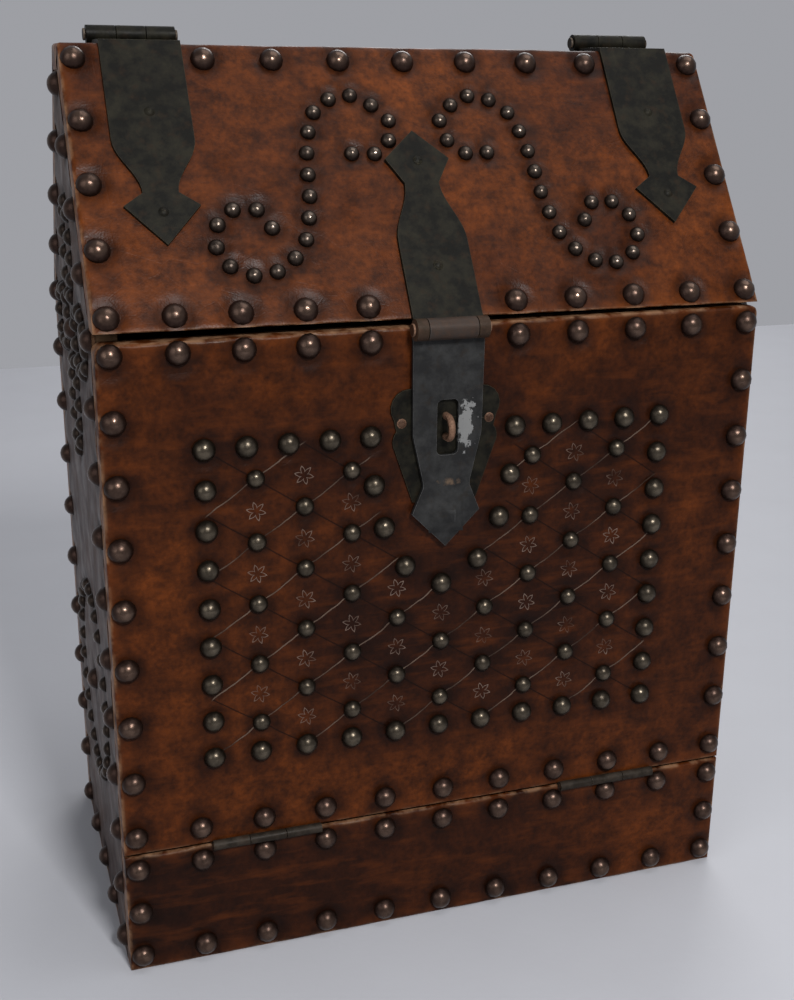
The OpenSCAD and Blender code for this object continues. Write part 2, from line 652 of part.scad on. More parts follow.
// ---------- staple and its plate ----------
plate_pin_x = 20.5;
module escutcheon_plate() {
    color(iron_c) on_front() difference() {
        // upper lobes round the pins, lower lobes, and a tapered foot behind the flap
        translate([hasp_x, staple_z, 0]) linear_extrude(plate_t)
            polygon(both_sides(concat(arc([17, 9], 8.5, 90, -35), arc([17, -6], 7.5, 40, -30), [[15, -34]])));
        pin_holes(plate_pins, plate_t);
        staple_holes(plate_t);
    }
}
plate_pins = [for (s = [-1, 1]) [hasp_x + s * plate_pin_x, staple_z + 2.5]];
module staple_holes(depth) {
    for (s = [-1, 1]) translate([hasp_x, staple_z + s * staple_bow_r, -1])
        cylinder(d = staple_wire + 2 * pin_fit, h = depth + 2);
}
module escutcheon_pins() {
    color(iron_c) on_front() for (p = plate_pins) translate([p.x, p.y, 0]) pin(plate_t);
}
// the room that the staple's two legs take in the leather and the board
module staple_wire_shape() {
    on_front() for (s = [-1, 1]) translate([hasp_x, staple_z + s * staple_bow_r, -staple_leg_l - 0.1])
        cylinder(d = staple_wire + 2 * pin_fit, h = staple_leg_l + 2);
}
staple_leg_l = 8;
module staple() {
    bow_z = staple_out - staple_bow_r - staple_wire / 2;
    color(rust_c) on_front() translate([hasp_x, staple_z, 0]) {
        for (s = [-1, 1]) translate([0, s * staple_bow_r, -staple_leg_l])
            cylinder(d = staple_wire, h = staple_leg_l + bow_z);
        translate([0, 0, bow_z]) rotate([0, -90, 0]) rotate([0, 0, -90])
            rotate_extrude(angle = 180) translate([staple_bow_r, 0]) circle(d = staple_wire);
    }
}

// ---------- front hinges ----------
front_knuckle_l = (front_hinge_l - 2 * knuckle_gap) / 3;
leaf_depth = panel_t - 1.5;
leaf_apart = 0.2;
module front_hinge_rooms() {
    for (side = [-1, 1]) {
        rod(side * front_hinge_x, front_hinge_l + 1, front_axis, front_hinge_r + knuckle_room);
        translate([side * front_hinge_x - front_hinge_l / 2 - 0.3, front_y - 1, plinth_h - leaf_apart - leaf_t])
            cube([front_hinge_l + 0.6, leaf_depth + 1.3, 2 * (leaf_apart + leaf_t)]);
    }
}
// up is 1 for the leaf on the front and -1 for the leaf on the plinth
module front_leaf(side, up) {
    z0 = up > 0 ? plinth_h + leaf_apart : plinth_h - leaf_apart - leaf_t;
    own = up > 0 ? [0] : [-1, 1];
    other = up > 0 ? [-1, 1] : [0];
    color(iron_c) difference() {
        union() {
            translate([side * front_hinge_x - front_hinge_l / 2, front_axis.x, z0])
                cube([front_hinge_l, front_y + leaf_depth - front_axis.x, leaf_t]);
            for (k = own)
                rod(side * front_hinge_x + k * (front_knuckle_l + knuckle_gap), front_knuckle_l,
                    front_axis, front_hinge_r);
        }
        for (k = other)
            rod(side * front_hinge_x + k * (front_knuckle_l + knuckle_gap), front_knuckle_l + 2 * knuckle_gap,
                front_axis, front_hinge_r + knuckle_room);
        rod(side * front_hinge_x, front_hinge_l + 2, front_axis, front_pin_r + pin_fit);
        for (p = leaf_nail_points(side))
            translate([p.x, p.y, z0 - 1]) cylinder(d = leaf_nail_d + 2 * pin_fit, h = leaf_t + 2);
    }
}
module front_hinge_pin(side) {
    color(rust_c) rod(side * front_hinge_x, front_hinge_l, front_axis, front_pin_r);
}
leaf_nail_d = 2;
leaf_nail_l = 9;
function leaf_nail_points(side) =
    [for (s = [-1, 1]) [side * front_hinge_x + s * front_hinge_l / 3, front_y + leaf_depth - 3.2]];
module leaf_nails(up) {
    z0 = up > 0 ? plinth_h + leaf_apart : plinth_h - leaf_apart - leaf_nail_l;
    color(iron_c) for (side = [-1, 1], p = leaf_nail_points(side)) translate([p.x, p.y, z0])
        cylinder(d = leaf_nail_d, h = leaf_nail_l);
}

bottom_board();
side_board(-1);  // left_side_board
side_board(1);  // right_side_board
back_board();
back_slope_board();
plinth_board();
side_leather(-1);  // left_side_leather
side_leather(1);  // right_side_leather
back_leather();
plinth_leather();
side_nails(-1);  // left_side_nails
side_nails(1);  // right_side_nails
ring_nails(-1);  // left_ring_nails
ring_nails(1);  // right_ring_nails
petal_nails(-1);  // left_petal_nails
petal_nails(1);  // right_petal_nails
back_nails();
back_slope_nails();
plinth_nails();
back_leaf(-1);  // left_back_leaf
back_leaf(1);  // right_back_leaf
lid_hinge_pin(-1);  // left_lid_hinge_pin
lid_hinge_pin(1);  // right_lid_hinge_pin
back_leaf_pins();
front_leaf(-1, -1);  // left_front_hinge_fixed_leaf
front_leaf(1, -1);  // right_front_hinge_fixed_leaf
front_hinge_pin(-1);  // left_front_hinge_pin
front_hinge_pin(1);  // right_front_hinge_pin
leaf_nails(-1);  // plinth_hinge_nails
lid_slope_board();
lid_ridge_board();
lid_leather();
lid_border_nails();
scroll_nails(-1);  // left_scroll_nails
scroll_nails(1);  // right_scroll_nails
lid_strap(-1);  // left_lid_strap
lid_strap(1);  // right_lid_strap
lid_strap_pins();
hasp_strap();
hasp_strap_pins();
hasp_hinge_pin();
hasp_flap();
front_board();
front_leather();
front_border_nails();
lattice_border_nails();
lattice_cross_nails();
escutcheon_plate();
escutcheon_pins();
staple();
front_leaf(-1, 1);  // left_front_hinge_moving_leaf
front_leaf(1, 1);  // right_front_hinge_moving_leaf
leaf_nails(1);  // front_hinge_nails
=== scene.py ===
# %% [markdown]
# # A leather-covered donation box
# The wooden box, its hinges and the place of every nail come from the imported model, which stays as
# it is. This script gives it its looks: hides with a grain, rolled edges and tooling, worn dome
# nails, blackened iron and old wood. Everything is in metres, with X to the right, Y to the back
# and Z up.

# %% The frame
import json
import math
import random

import bpy
import numpy as np
from mathutils import Matrix, Vector


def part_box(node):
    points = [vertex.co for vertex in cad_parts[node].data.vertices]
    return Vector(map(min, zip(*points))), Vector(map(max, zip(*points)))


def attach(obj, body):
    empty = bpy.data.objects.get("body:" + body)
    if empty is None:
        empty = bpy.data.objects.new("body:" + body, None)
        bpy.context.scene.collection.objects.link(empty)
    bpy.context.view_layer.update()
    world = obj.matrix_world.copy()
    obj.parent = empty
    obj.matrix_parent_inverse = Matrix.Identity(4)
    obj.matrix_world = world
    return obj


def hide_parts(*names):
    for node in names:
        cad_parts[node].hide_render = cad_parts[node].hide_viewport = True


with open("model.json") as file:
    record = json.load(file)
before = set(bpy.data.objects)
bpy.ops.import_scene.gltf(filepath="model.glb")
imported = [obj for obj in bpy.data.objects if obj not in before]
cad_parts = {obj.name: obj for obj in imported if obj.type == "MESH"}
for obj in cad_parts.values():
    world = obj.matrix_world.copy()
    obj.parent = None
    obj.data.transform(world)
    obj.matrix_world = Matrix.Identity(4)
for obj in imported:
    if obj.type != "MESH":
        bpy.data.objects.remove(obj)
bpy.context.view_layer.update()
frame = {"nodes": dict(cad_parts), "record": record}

MM = 0.001
for area in frame["nodes"].values():
    area.select_set(False)
print("CAD nodes:", len(frame["nodes"]))

# %% [markdown]
# ## The camera
# A camera is a place, a direction and a lens. It stands a little above the ridge and to the left of
# the box, so that the front, the sloped lid and a narrow strip of the left side show. It is made
# first, because every later choice is judged through it.

# %% Camera
CAMERA_PLACE = Vector((-207.1, -617.5, 395.3)) * MM
YAW, PITCH, ROLL = (math.radians(a) for a in (18.94, 17.62, 0.53))
LENS_MM, SENSOR_MM = 47.9, 36.0

ahead = Vector((math.sin(YAW) * math.cos(PITCH), math.cos(YAW) * math.cos(PITCH), -math.sin(PITCH)))
level_right = Vector((math.cos(YAW), -math.sin(YAW), 0))
level_up = level_right.cross(ahead)
right = math.cos(ROLL) * level_right + math.sin(ROLL) * level_up
up = -math.sin(ROLL) * level_right + math.cos(ROLL) * level_up

camera_data = bpy.data.cameras.new("camera")
camera_data.lens = LENS_MM
camera_data.sensor_width = SENSOR_MM
camera = bpy.data.objects.new("camera", camera_data)
bpy.context.scene.collection.objects.link(camera)
turn = Matrix((right, up, -ahead)).transposed().to_4x4()
camera.matrix_world = Matrix.Translation(CAMERA_PLACE) @ turn
bpy.context.scene.camera = camera
print("camera", [round(c, 3) for c in camera.location])

# %% [markdown]
# ## Sizes that come from the frame
# No size is guessed here. The corners of the CAD leathers give the panels, and the slope of the lid
# follows from its two edges.

# %% Sizes
BOX_LO, BOX_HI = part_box("back_leather")
FRONT_LO, FRONT_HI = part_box("front_leather")
LID_LO, LID_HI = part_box("lid_leather")
PLINTH_LO, PLINTH_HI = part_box("plinth_leather")
SIDE_LO, SIDE_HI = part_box("left_side_leather")
HALF_W = BOX_HI.x
FRONT_Y = FRONT_LO.y
BACK_Y = BOX_HI.y
RIDGE_Z = LID_HI.z
SEAM_Z = LID_LO.z
HIDE = SIDE_HI.x - SIDE_LO.x
TURN = PLINTH_HI.y - PLINTH_LO.y
front_points = np.array([v.co for v in frame["nodes"]["front_leather"].data.vertices])
LEFT_TOP = front_points[front_points[:, 0] < 0][:, 2].max()
lid_points = np.array([v.co for v in frame["nodes"]["lid_leather"].data.vertices])
RIDGE_Y = lid_points[lid_points[:, 2] > RIDGE_Z - 0.1 * MM][:, 1].min()
SLOPE = math.atan2(RIDGE_Z - SEAM_Z, RIDGE_Y - FRONT_Y)
SLOPE_L = math.hypot(RIDGE_Z - SEAM_Z, RIDGE_Y - FRONT_Y)
print(f"slope {math.degrees(SLOPE):.1f} degrees, {SLOPE_L / MM:.1f} mm long; hide {HIDE / MM:.1f} mm")

# %% [markdown]
# ## Small helpers
# An operator works on whatever is selected, so each piece starts with nothing selected. In edit mode
# the parts to work on are chosen by their place.


# %% Selecting and finishing
def alone(piece):
    """Only this piece is selected and active."""
    bpy.ops.object.select_all(action="DESELECT")
    piece.select_set(True)
    bpy.context.view_layer.objects.active = piece


def start(name):
    """The primitive that was just added gets its name."""
    piece = bpy.context.object
    piece.name = piece.data.name = name
    return piece


def edit(piece, mode="VERT"):
    alone(piece)
    bpy.ops.object.mode_set(mode="EDIT")
    bpy.ops.mesh.select_mode(type=mode)
    bpy.ops.mesh.select_all(action="DESELECT")


def leave():
    bpy.ops.object.mode_set(mode="OBJECT")


def apply_modifier(piece, kind, **settings):
    alone(piece)
    modifier = piece.modifiers.new(kind.lower(), kind)
    for key, value in settings.items():
        setattr(modifier, key, value)
    bpy.ops.object.modifier_apply(modifier=modifier.name)


def points_of(piece):
    co = np.empty(len(piece.data.vertices) * 3)
    piece.data.vertices.foreach_get("co", co)
    return co.reshape(-1, 3)


def set_points(piece, co):
    piece.data.vertices.foreach_set("co", np.asarray(co, float).ravel())
    piece.data.update()


def smooth(piece, angle=40):
    alone(piece)
    bpy.ops.object.shade_smooth_by_angle(angle=math.radians(angle))


def paint(piece, name, values):
    """A number for each vertex, which a material can read by name."""
    layer = piece.data.attributes.new(name, "FLOAT", "POINT")
    layer.data.foreach_set("value", np.asarray(values, np.float32))


def belongs(piece, body, slot, *nodes):
    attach(piece, body)
    if nodes:
        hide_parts(*nodes)


# %% [markdown]
# ## Building materials from nodes
# A material is a graph. These helpers add a node, join two sockets and mix two colours, so that the
# graphs below read from top to bottom.


# %% Node helpers
def new_material(name):
    material = bpy.data.materials.new(name)
    material.use_nodes = True
    return material, material.node_tree


def node(tree, kind, **settings):
    made = tree.nodes.new(kind)
    for key, value in settings.items():
        if key in made.inputs:
            made.inputs[key].default_value = value
        else:
            setattr(made, key, value)
    return made


def value_of(tree, source):
    """The socket of a node, whichever of its outputs carries the result."""
    if isinstance(source, bpy.types.NodeSocket):
        return source
    for name in ("Result", "Color", "Fac", "Value", "Vector"):
        found = [s for s in source.outputs if s.name == name and s.enabled]
        if found:
            return found[0]
    return source.outputs[0]


def calc(tree, operation, *values, clamp=False):
    made = tree.nodes.new("ShaderNodeMath")
    made.operation = operation
    made.use_clamp = clamp
    for socket, value in zip(made.inputs, values):
        if isinstance(value, (int, float)):
            socket.default_value = value
        else:
            tree.links.new(value_of(tree, value), socket)
    return made


def mix(tree, amount, a, b, blend="MIX"):
    """Colour a goes to colour b by the amount."""
    made = tree.nodes.new("ShaderNodeMix")
    made.data_type = "RGBA"
    made.blend_type = blend
    named = {"Factor": amount, "A": a, "B": b}
    for socket in [s for s in made.inputs if s.enabled and s.name in named]:
        value = named[socket.name]
        if isinstance(value, (int, float)):
            socket.default_value = value
        elif isinstance(value, tuple):
            socket.default_value = (*value, 1)
        else:
            tree.links.new(value_of(tree, value), socket)
    return made


def ramp(tree, source, *stops):
    """A colour ramp with stops of (place, colour or grey)."""
    made = tree.nodes.new("ShaderNodeValToRGB")
    elements = made.color_ramp.elements
    while len(elements) < len(stops):
        elements.new(0.5)
    for element, (place, shade) in zip(elements, stops):
        element.position = place
        element.color = (*shade, 1) if isinstance(shade, tuple) else (shade, shade, shade, 1)
    tree.links.new(value_of(tree, source), made.inputs["Fac"])
    return made.outputs["Color"]


def noise(tree, size_mm, detail=4, stretch=(1, 1, 1), roughness=0.55, place=(0, 0, 0)):
    """Noise on Object coordinates whose blobs are about size_mm across."""
    where = node(tree, "ShaderNodeTexCoord").outputs["Object"]
    mapping = node(tree, "ShaderNodeMapping")
    mapping.inputs["Scale"].default_value = stretch
    mapping.inputs["Location"].default_value = place
    tree.links.new(where, mapping.inputs["Vector"])
    made = node(tree, "ShaderNodeTexNoise", Scale=1 / (size_mm * MM), Detail=detail, Roughness=roughness)
    tree.links.new(mapping.outputs[0], made.inputs["Vector"])
    return made.outputs["Fac"]


def cells(tree, size_mm, feature="F1"):
    where = node(tree, "ShaderNodeTexCoord").outputs["Object"]
    made = node(tree, "ShaderNodeTexVoronoi", feature=feature)
    made.inputs["Scale"].default_value = 1 / (size_mm * MM)
    tree.links.new(where, made.inputs["Vector"])
    return made.outputs["Distance"]


def painted(tree, name):
    return node(tree, "ShaderNodeAttribute", attribute_name=name).outputs["Fac"]


def bump(tree, height, depth_mm, after=None, strength=1.0):
    made = node(tree, "ShaderNodeBump", Strength=strength, Distance=depth_mm * MM)
    tree.links.new(value_of(tree, height), made.inputs["Height"])
    if after is not None:
        tree.links.new(after.outputs["Normal"], made.inputs["Normal"])
    return made


def surface(tree, color, roughness, relief=None, **settings):
    shader = tree.nodes["Principled BSDF"]
    for key, value in settings.items():
        shader.inputs[key].default_value = value
    for socket, source in (("Base Color", color), ("Roughness", roughness)):
        if isinstance(source, (int, float)):
            shader.inputs[socket].default_value = source
        elif isinstance(source, tuple):
            shader.inputs[socket].default_value = (*source, 1)
        else:
            tree.links.new(value_of(tree, source), shader.inputs[socket])
    if relief is not None:
        tree.links.new(relief.outputs["Normal"], shader.inputs["Normal"])


# %% [markdown]
# ## Where the nails are
# Each CAD nail node is a group of loose nails. The script finds them one by one: it welds the
# triangles, walks from vertex to vertex, and measures each island's middle, radius and height along
# the panel's outward direction. So a nail that moves in the CAD model moves here too.

# %% Finding the nails
import bmesh

OUT = {
    "front": Vector((0, -1, 0)),
    "lid": Vector((0, -math.sin(SLOPE), math.cos(SLOPE))),
    "back": Vector((0, 1, 0)),
    "back_slope": Vector((0, math.sin(SLOPE), math.cos(SLOPE))),
    "left": Vector((-1, 0, 0)),
    "right": Vector((1, 0, 0)),
}


def find_nails(name, outward):
    """(middle on the leather, radius, rise) of every nail in a CAD node."""
    welded = bmesh.new()
    welded.from_mesh(frame["nodes"][name].data)
    bmesh.ops.remove_doubles(welded, verts=welded.verts, dist=0.002 * MM)
    seen, found = set(), []
    for first in welded.verts:
        if first in seen:
            continue
        island, waiting = [], [first]
        seen.add(first)
        while waiting:
            vert = waiting.pop()
            island.append(vert.co.copy())
            for edge in vert.link_edges:
                other = edge.other_vert(vert)
                if other not in seen:
                    seen.add(other)
                    waiting.append(other)
        top = max(p.dot(outward) for p in island)
        head = [p for p in island if top - p.dot(outward) < 5 * MM]
        middle = sum((p for p in head if top - p.dot(outward) < 0.05 * MM), Vector()) / max(
            1, sum(top - p.dot(outward) < 0.05 * MM for p in head))
        radius = max((p - middle - outward * (p - middle).dot(outward)).length for p in head)
        wide = [p for p in head if (p - middle - outward * (p - middle).dot(outward)).length > 0.9 * radius]
        rise = top - min(p.dot(outward) for p in wide)
        found.append((middle - outward * rise, radius, rise))
    welded.free()
    return found


NAIL_PANELS = {
    "front_border_nails": "front", "lattice_border_nails": "front", "lattice_cross_nails": "front",
    "plinth_nails": "front", "lid_border_nails": "lid", "left_scroll_nails": "lid",
    "right_scroll_nails": "lid", "back_nails": "back", "back_slope_nails": "back_slope",
    "left_side_nails": "left", "left_ring_nails": "left", "left_petal_nails": "left",
    "right_side_nails": "right", "right_ring_nails": "right", "right_petal_nails": "right",
}
nails = {name: find_nails(name, OUT[panel]) for name, panel in NAIL_PANELS.items()}
for name, found in nails.items():
    print(name, len(found), f"radius {found[0][1] / MM:.2f} rise {found[0][2] / MM:.2f} mm")

# %% [markdown]
# ## The finish of the nails
# Old dome nails are brown where dirt and lacquer stay and bright where hands have rubbed them. The
# crown of each dome is painted with a number from 0 at the rim to 1 at the top, and the metal gets
# lighter and smoother with it.


# %% Nail metal
def nail_metal(name, dark, worn):
    material, tree = new_material(name)
    crown = painted(tree, "crown")
    blotch = noise(tree, 6, 5)
    rubbed = calc(tree, "MULTIPLY", ramp(tree, crown, (0.5, 0.0), (1.0, 1.0)), ramp(tree, blotch, (0.35, 0.2), (0.65, 1.0)))
    grime = noise(tree, 1.2, 4)
    base = mix(tree, ramp(tree, grime, (0.4, 0.0), (0.7, 0.6)), dark, tuple(0.45 * c for c in dark))
    color = mix(tree, rubbed, base, worn)
    rough = ramp(tree, calc(tree, "ADD", rubbed, calc(tree, "MULTIPLY", grime, 0.3)), (0.0, 0.42), (1.1, 0.2))
    relief = bump(tree, noise(tree, 1.5, 3), 0.12, strength=0.6)
    surface(tree, color, rough, relief, Metallic=0.85)
    return material


large_metal = nail_metal("browned_brass", (0.034, 0.018, 0.013), (0.13, 0.083, 0.06))
lattice_metal = nail_metal("darkened_steel", (0.024, 0.018, 0.012), (0.13, 0.105, 0.075))
small_metal = nail_metal("dark_brass", (0.022, 0.014, 0.01), (0.13, 0.1, 0.078))

# %% [markdown]
# ## Dome nails
# One nail is modelled: a sphere cut to a shallow cap, closed underneath and drawn down a little as a
# skirt that sits in the leather. Then it is copied to every place. No two were hammered in alike, so
# each copy is tilted, turned and dented a little. The random numbers have a fixed seed.

# %% One nail, then all of them
SEGMENTS, RINGS = 14, 9
SKIRT = 0.7 * MM


def model_nail(name, radius, rise):
    ball = (radius * radius + rise * rise) / (2 * rise)
    bpy.ops.object.select_all(action="DESELECT")
    bpy.ops.mesh.primitive_uv_sphere_add(segments=SEGMENTS, ring_count=RINGS * 2, radius=ball)
    piece = start(name)
    edit(piece)
    bpy.ops.mesh.select_all(action="SELECT")
    bpy.ops.mesh.bisect(plane_co=(0, 0, ball - rise), plane_no=(0, 0, 1), clear_inner=True, use_fill=True)
    leave()
    set_points(piece, points_of(piece) - np.array([0, 0, ball - rise]))
    edit(piece, "FACE")
    leave()
    for face in piece.data.polygons:
        face.select = face.normal.z < -0.9
    bpy.ops.object.mode_set(mode="EDIT")
    bpy.ops.mesh.extrude_region_move(TRANSFORM_OT_translate={"value": (0, 0, -SKIRT)})
    leave()
    co = points_of(piece)
    paint(piece, "crown", np.clip(co[:, 2] / rise, 0, 1))
    smooth(piece, 60)
    return piece


def set_nails(name, body, slot, material, seed):
    outward = OUT[NAIL_PANELS[name]]
    chance = random.Random(seed)
    places = nails[name]
    master = model_nail(name.replace("nails", "domes"), places[0][1], places[0][2])
    face_turn = outward.to_track_quat("Z", "Y").to_matrix().to_4x4()
    copies = []
    for middle, radius, rise in places:
        copy = master.copy()
        copy.data = master.data.copy()
        bpy.context.scene.collection.objects.link(copy)
        lean = Matrix.Rotation(math.radians(chance.uniform(-4, 4)), 4, "X") @ Matrix.Rotation(
            math.radians(chance.uniform(-4, 4)), 4, "Y")
        spun = Matrix.Rotation(chance.uniform(0, math.tau), 4, "Z")
        size = chance.uniform(0.96, 1.0)
        dents = points_of(copy)
        dents += np.array([chance.gauss(0, 0.035 * MM) for _ in range(dents.size)]).reshape(-1, 3)
        set_points(copy, dents * size)
        copy.matrix_world = Matrix.Translation(middle) @ face_turn @ lean @ spun
        copies.append(copy)
    bpy.data.objects.remove(master)
    bpy.ops.object.select_all(action="DESELECT")
    for copy in copies:
        copy.select_set(True)
    bpy.context.view_layer.objects.active = copies[0]
    bpy.ops.object.join()
    piece = start(name.replace("nails", "domes"))
    bpy.ops.object.transform_apply(location=True, rotation=True, scale=True)
    piece.data.materials.clear()
    piece.data.materials.append(material)
    belongs(piece, body, slot, name)
    return piece


BODY_OF = {n: body for body, ns in frame["record"]["behaviour"]["bodies"].items() for n in ns}
for seed, name in enumerate(sorted(NAIL_PANELS)):
    if name.startswith("lattice"):
        metal, slot_name = lattice_metal, "lattice_nails"
    elif "scroll" in name or "ring" in name or "petal" in name:
        metal, slot_name = small_metal, "border_nails"
    else:
        metal, slot_name = large_metal, "border_nails"
    piece = set_nails(name, BODY_OF[name], slot_name, metal, seed)
print("nail pieces:", len(NAIL_PANELS), "faces in the last:", len(piece.data.polygons))

# %% [markdown]
# ## Hides
# A hide is soft, a few millimetres thick, and wraps round the edge of its board. Each one is modelled
# flat, as it lies on the bench: a fine grid, a rim that is extruded round a small radius and turned
# back, a cut edge, and a lining behind. Then its surface is pressed in round the nails, and at last
# it is folded over the board.


# %% A flat hide with turned edges
ROLL = 1.6 * MM


def flat_hide(name, width, height, cell, depth):
    """Face up at Z 0, with its middle at the origin. The edges are turned back by the depth."""
    inner_w, inner_h = width / 2 - ROLL, height / 2 - ROLL
    bpy.ops.object.select_all(action="DESELECT")
    bpy.ops.mesh.primitive_grid_add(
        x_subdivisions=round(2 * inner_w / cell), y_subdivisions=round(2 * inner_h / cell), size=2)
    piece = start(name)
    piece.scale = (inner_w, inner_h, 1)
    bpy.ops.object.transform_apply(scale=True)
    edit(piece, "EDGE")
    bpy.ops.mesh.select_non_manifold()
    w, h, z = inner_w, inner_h, 0.0

    def rim_to(new_w, new_h, new_z):
        nonlocal w, h, z
        bpy.ops.mesh.extrude_region_move(TRANSFORM_OT_translate={"value": (0, 0, new_z - z)})
        bpy.ops.transform.resize(value=(new_w / w, new_h / h, 1), center_override=(0, 0, new_z))
        w, h, z = new_w, new_h, new_z

    for step in (1, 2, 3):
        a = math.radians(30 * step)
        grow = ROLL * math.sin(a)
        rim_to(inner_w + grow, inner_h + grow, -ROLL * (1 - math.cos(a)))
    rim_to(width / 2, height / 2, -depth)
    rim_to(width / 2 - HIDE, height / 2 - HIDE, -depth)
    rim_to(width / 2 - HIDE, height / 2 - HIDE, -HIDE)
    bpy.ops.mesh.edge_face_add()
    leave()
    return piece


# %% [markdown]
# The leather isn't flat. It swells between the nails, is pulled in round each one, and has soft waves
# where it was glued. The depth at each vertex is painted as a vertex group, and a Displace modifier
# moves the surface by it, as one would do by hand with weight paint.


# %% Pressing the leather
def waves(s, t, seed, lengths):
    """Soft waves from 0 to 1, made of sines in random directions."""
    chance = random.Random(seed)
    total = np.zeros_like(s)
    for length in lengths:
        for _ in range(4):
            a, shift = chance.uniform(0, math.tau), chance.uniform(0, math.tau)
            total += np.sin((s * math.cos(a) + t * math.sin(a)) * math.tau / (length * MM) + shift)
    return 0.5 + 0.5 * total / (4 * len(lengths)) * 1.6


def near_nails(s, t, spots):
    """1 at and under a nail's rim, falling to 0 a few millimetres off; and the distance to the rim."""
    pressed = np.zeros_like(s)
    gap = np.full_like(s, 1.0)
    for x, y, r in spots:
        close = np.where((abs(s - x) < r + 12 * MM) & (abs(t - y) < r + 12 * MM))[0]
        d = np.hypot(s[close] - x, t[close] - y) - r
        pressed[close] = np.maximum(pressed[close], np.exp(-((np.maximum(d, 0) / (2.6 * MM)) ** 2)))
        gap[close] = np.minimum(gap[close], d)
    return pressed, gap


def press(piece, group, weights, depth):
    """Moves the face along its own Z by depth times the weight."""
    layer = piece.vertex_groups.new(name=group)
    for i in np.nonzero(weights > 0.004)[0]:
        layer.add([int(i)], float(weights[i]), "REPLACE")
    apply_modifier(piece, "DISPLACE", vertex_group=group, direction="Z", mid_level=0.0, strength=depth)


def work_face(piece, spots, seed, tooling=None):
    """Dimples, waves and tooling on a flat hide, and the numbers that its material reads."""
    co = points_of(piece)
    s, t = co[:, 0], co[:, 1]
    face = (co[:, 2] > -0.5 * MM).astype(float)
    pressed, gap = near_nails(s, t, spots)
    press(piece, "nail_dimples", pressed * face, -0.6 * MM)
    press(piece, "waves", np.clip(waves(s, t, seed, (70, 34, 19)), 0, 1) * face * (1 - pressed), 0.35 * MM)
    if tooling is not None:
        press(piece, "tooling", tooling(s, t) * face, -0.45 * MM)
    w, h = abs(s).max(), abs(t).max()
    edge = np.minimum(w - abs(s), h - abs(t))
    paint(piece, "halo", np.clip(1 - np.maximum(gap, 0) / (7 * MM), 0, 1) * (gap < 0.5))
    paint(piece, "edge", np.clip(1 - edge / (9 * MM), 0, 1))
    # rim: the narrow band on the rolled edge that gets the pale line, partly rubbed leather and partly a painted
    # highlight
    paint(piece, "rim", np.exp(-((edge / (0.9 * MM)) ** 2)))
    return piece


# %% [markdown]
# A folded hide follows a path in Y and Z. The path lists the corners of the board with the direction
# that goes into the board at each of them. A point that lay t along the flat hide and d below its
# face goes t along the path and d inwards.


# %% Folding over the board
def rounded_path(corners, radius):
    """Points (length, y, z, inward y, inward z) along a path of corners, each turned round a radius."""
    points = []
    for k, (y, z, inward) in enumerate(corners):
        here = np.array([y, z])
        if k in (0, len(corners) - 1):
            points.append((*here, *inward))
            continue
        before = np.array(corners[k - 1][:2]) - here
        after = np.array(corners[k + 1][:2]) - here
        a = here + before / np.linalg.norm(before) * radius
        b = here + after / np.linalg.norm(after) * radius
        for f in (0, 0.25, 0.5, 0.75, 1):
            p = (1 - f) ** 2 * a + 2 * f * (1 - f) * here + f * f * b
            points.append((*p, *(np.array(inward[0]) * (1 - f) + np.array(inward[1]) * f)))
    lengths = [0.0]
    for p, q in zip(points, points[1:]):
        lengths.append(lengths[-1] + math.hypot(q[0] - p[0], q[1] - p[1]))
    return np.array([(run, *p) for run, p in zip(lengths, points)])


def fold(piece, path):
    """Cuts the flat hide across where the path bends, so that its lining can fold too, and bends it."""
    edit(piece)
    for run in path[1:-1, 0]:
        bpy.ops.mesh.select_all(action="SELECT")
        bpy.ops.mesh.bisect(plane_co=(0, run - path[-1, 0] / 2, 0), plane_no=(0, 1, 0))
    leave()
    co = points_of(piece)
    t = (co[:, 1] - co[:, 1].min()) / (co[:, 1].max() - co[:, 1].min()) * path[-1, 0]
    y, z, iy, iz = (np.interp(t, path[:, 0], path[:, k]) for k in (1, 2, 3, 4))
    depth = -co[:, 2]
    set_points(piece, np.stack([co[:, 0], y + depth * iy, z + depth * iz], 1))


def along_path(path, point):
    """How far along the path, from its middle, the point lies."""
    best = (1e9, 0)
    for p, q in zip(path, path[1:]):
        a, b = p[1:3], q[1:3]
        f = np.clip(np.dot(np.array([point.y, point.z]) - a, b - a) / np.dot(b - a, b - a), 0, 1)
        d = np.linalg.norm(a + f * (b - a) - np.array([point.y, point.z]))
        if d < best[0]:
            best = (d, p[0] + f * (q[0] - p[0]))
    return best[1] - path[-1, 0] / 2


def spots_on(path, *names):
    return [(m.x, along_path(path, m), r) for n in names for m, r, _ in nails[n]]


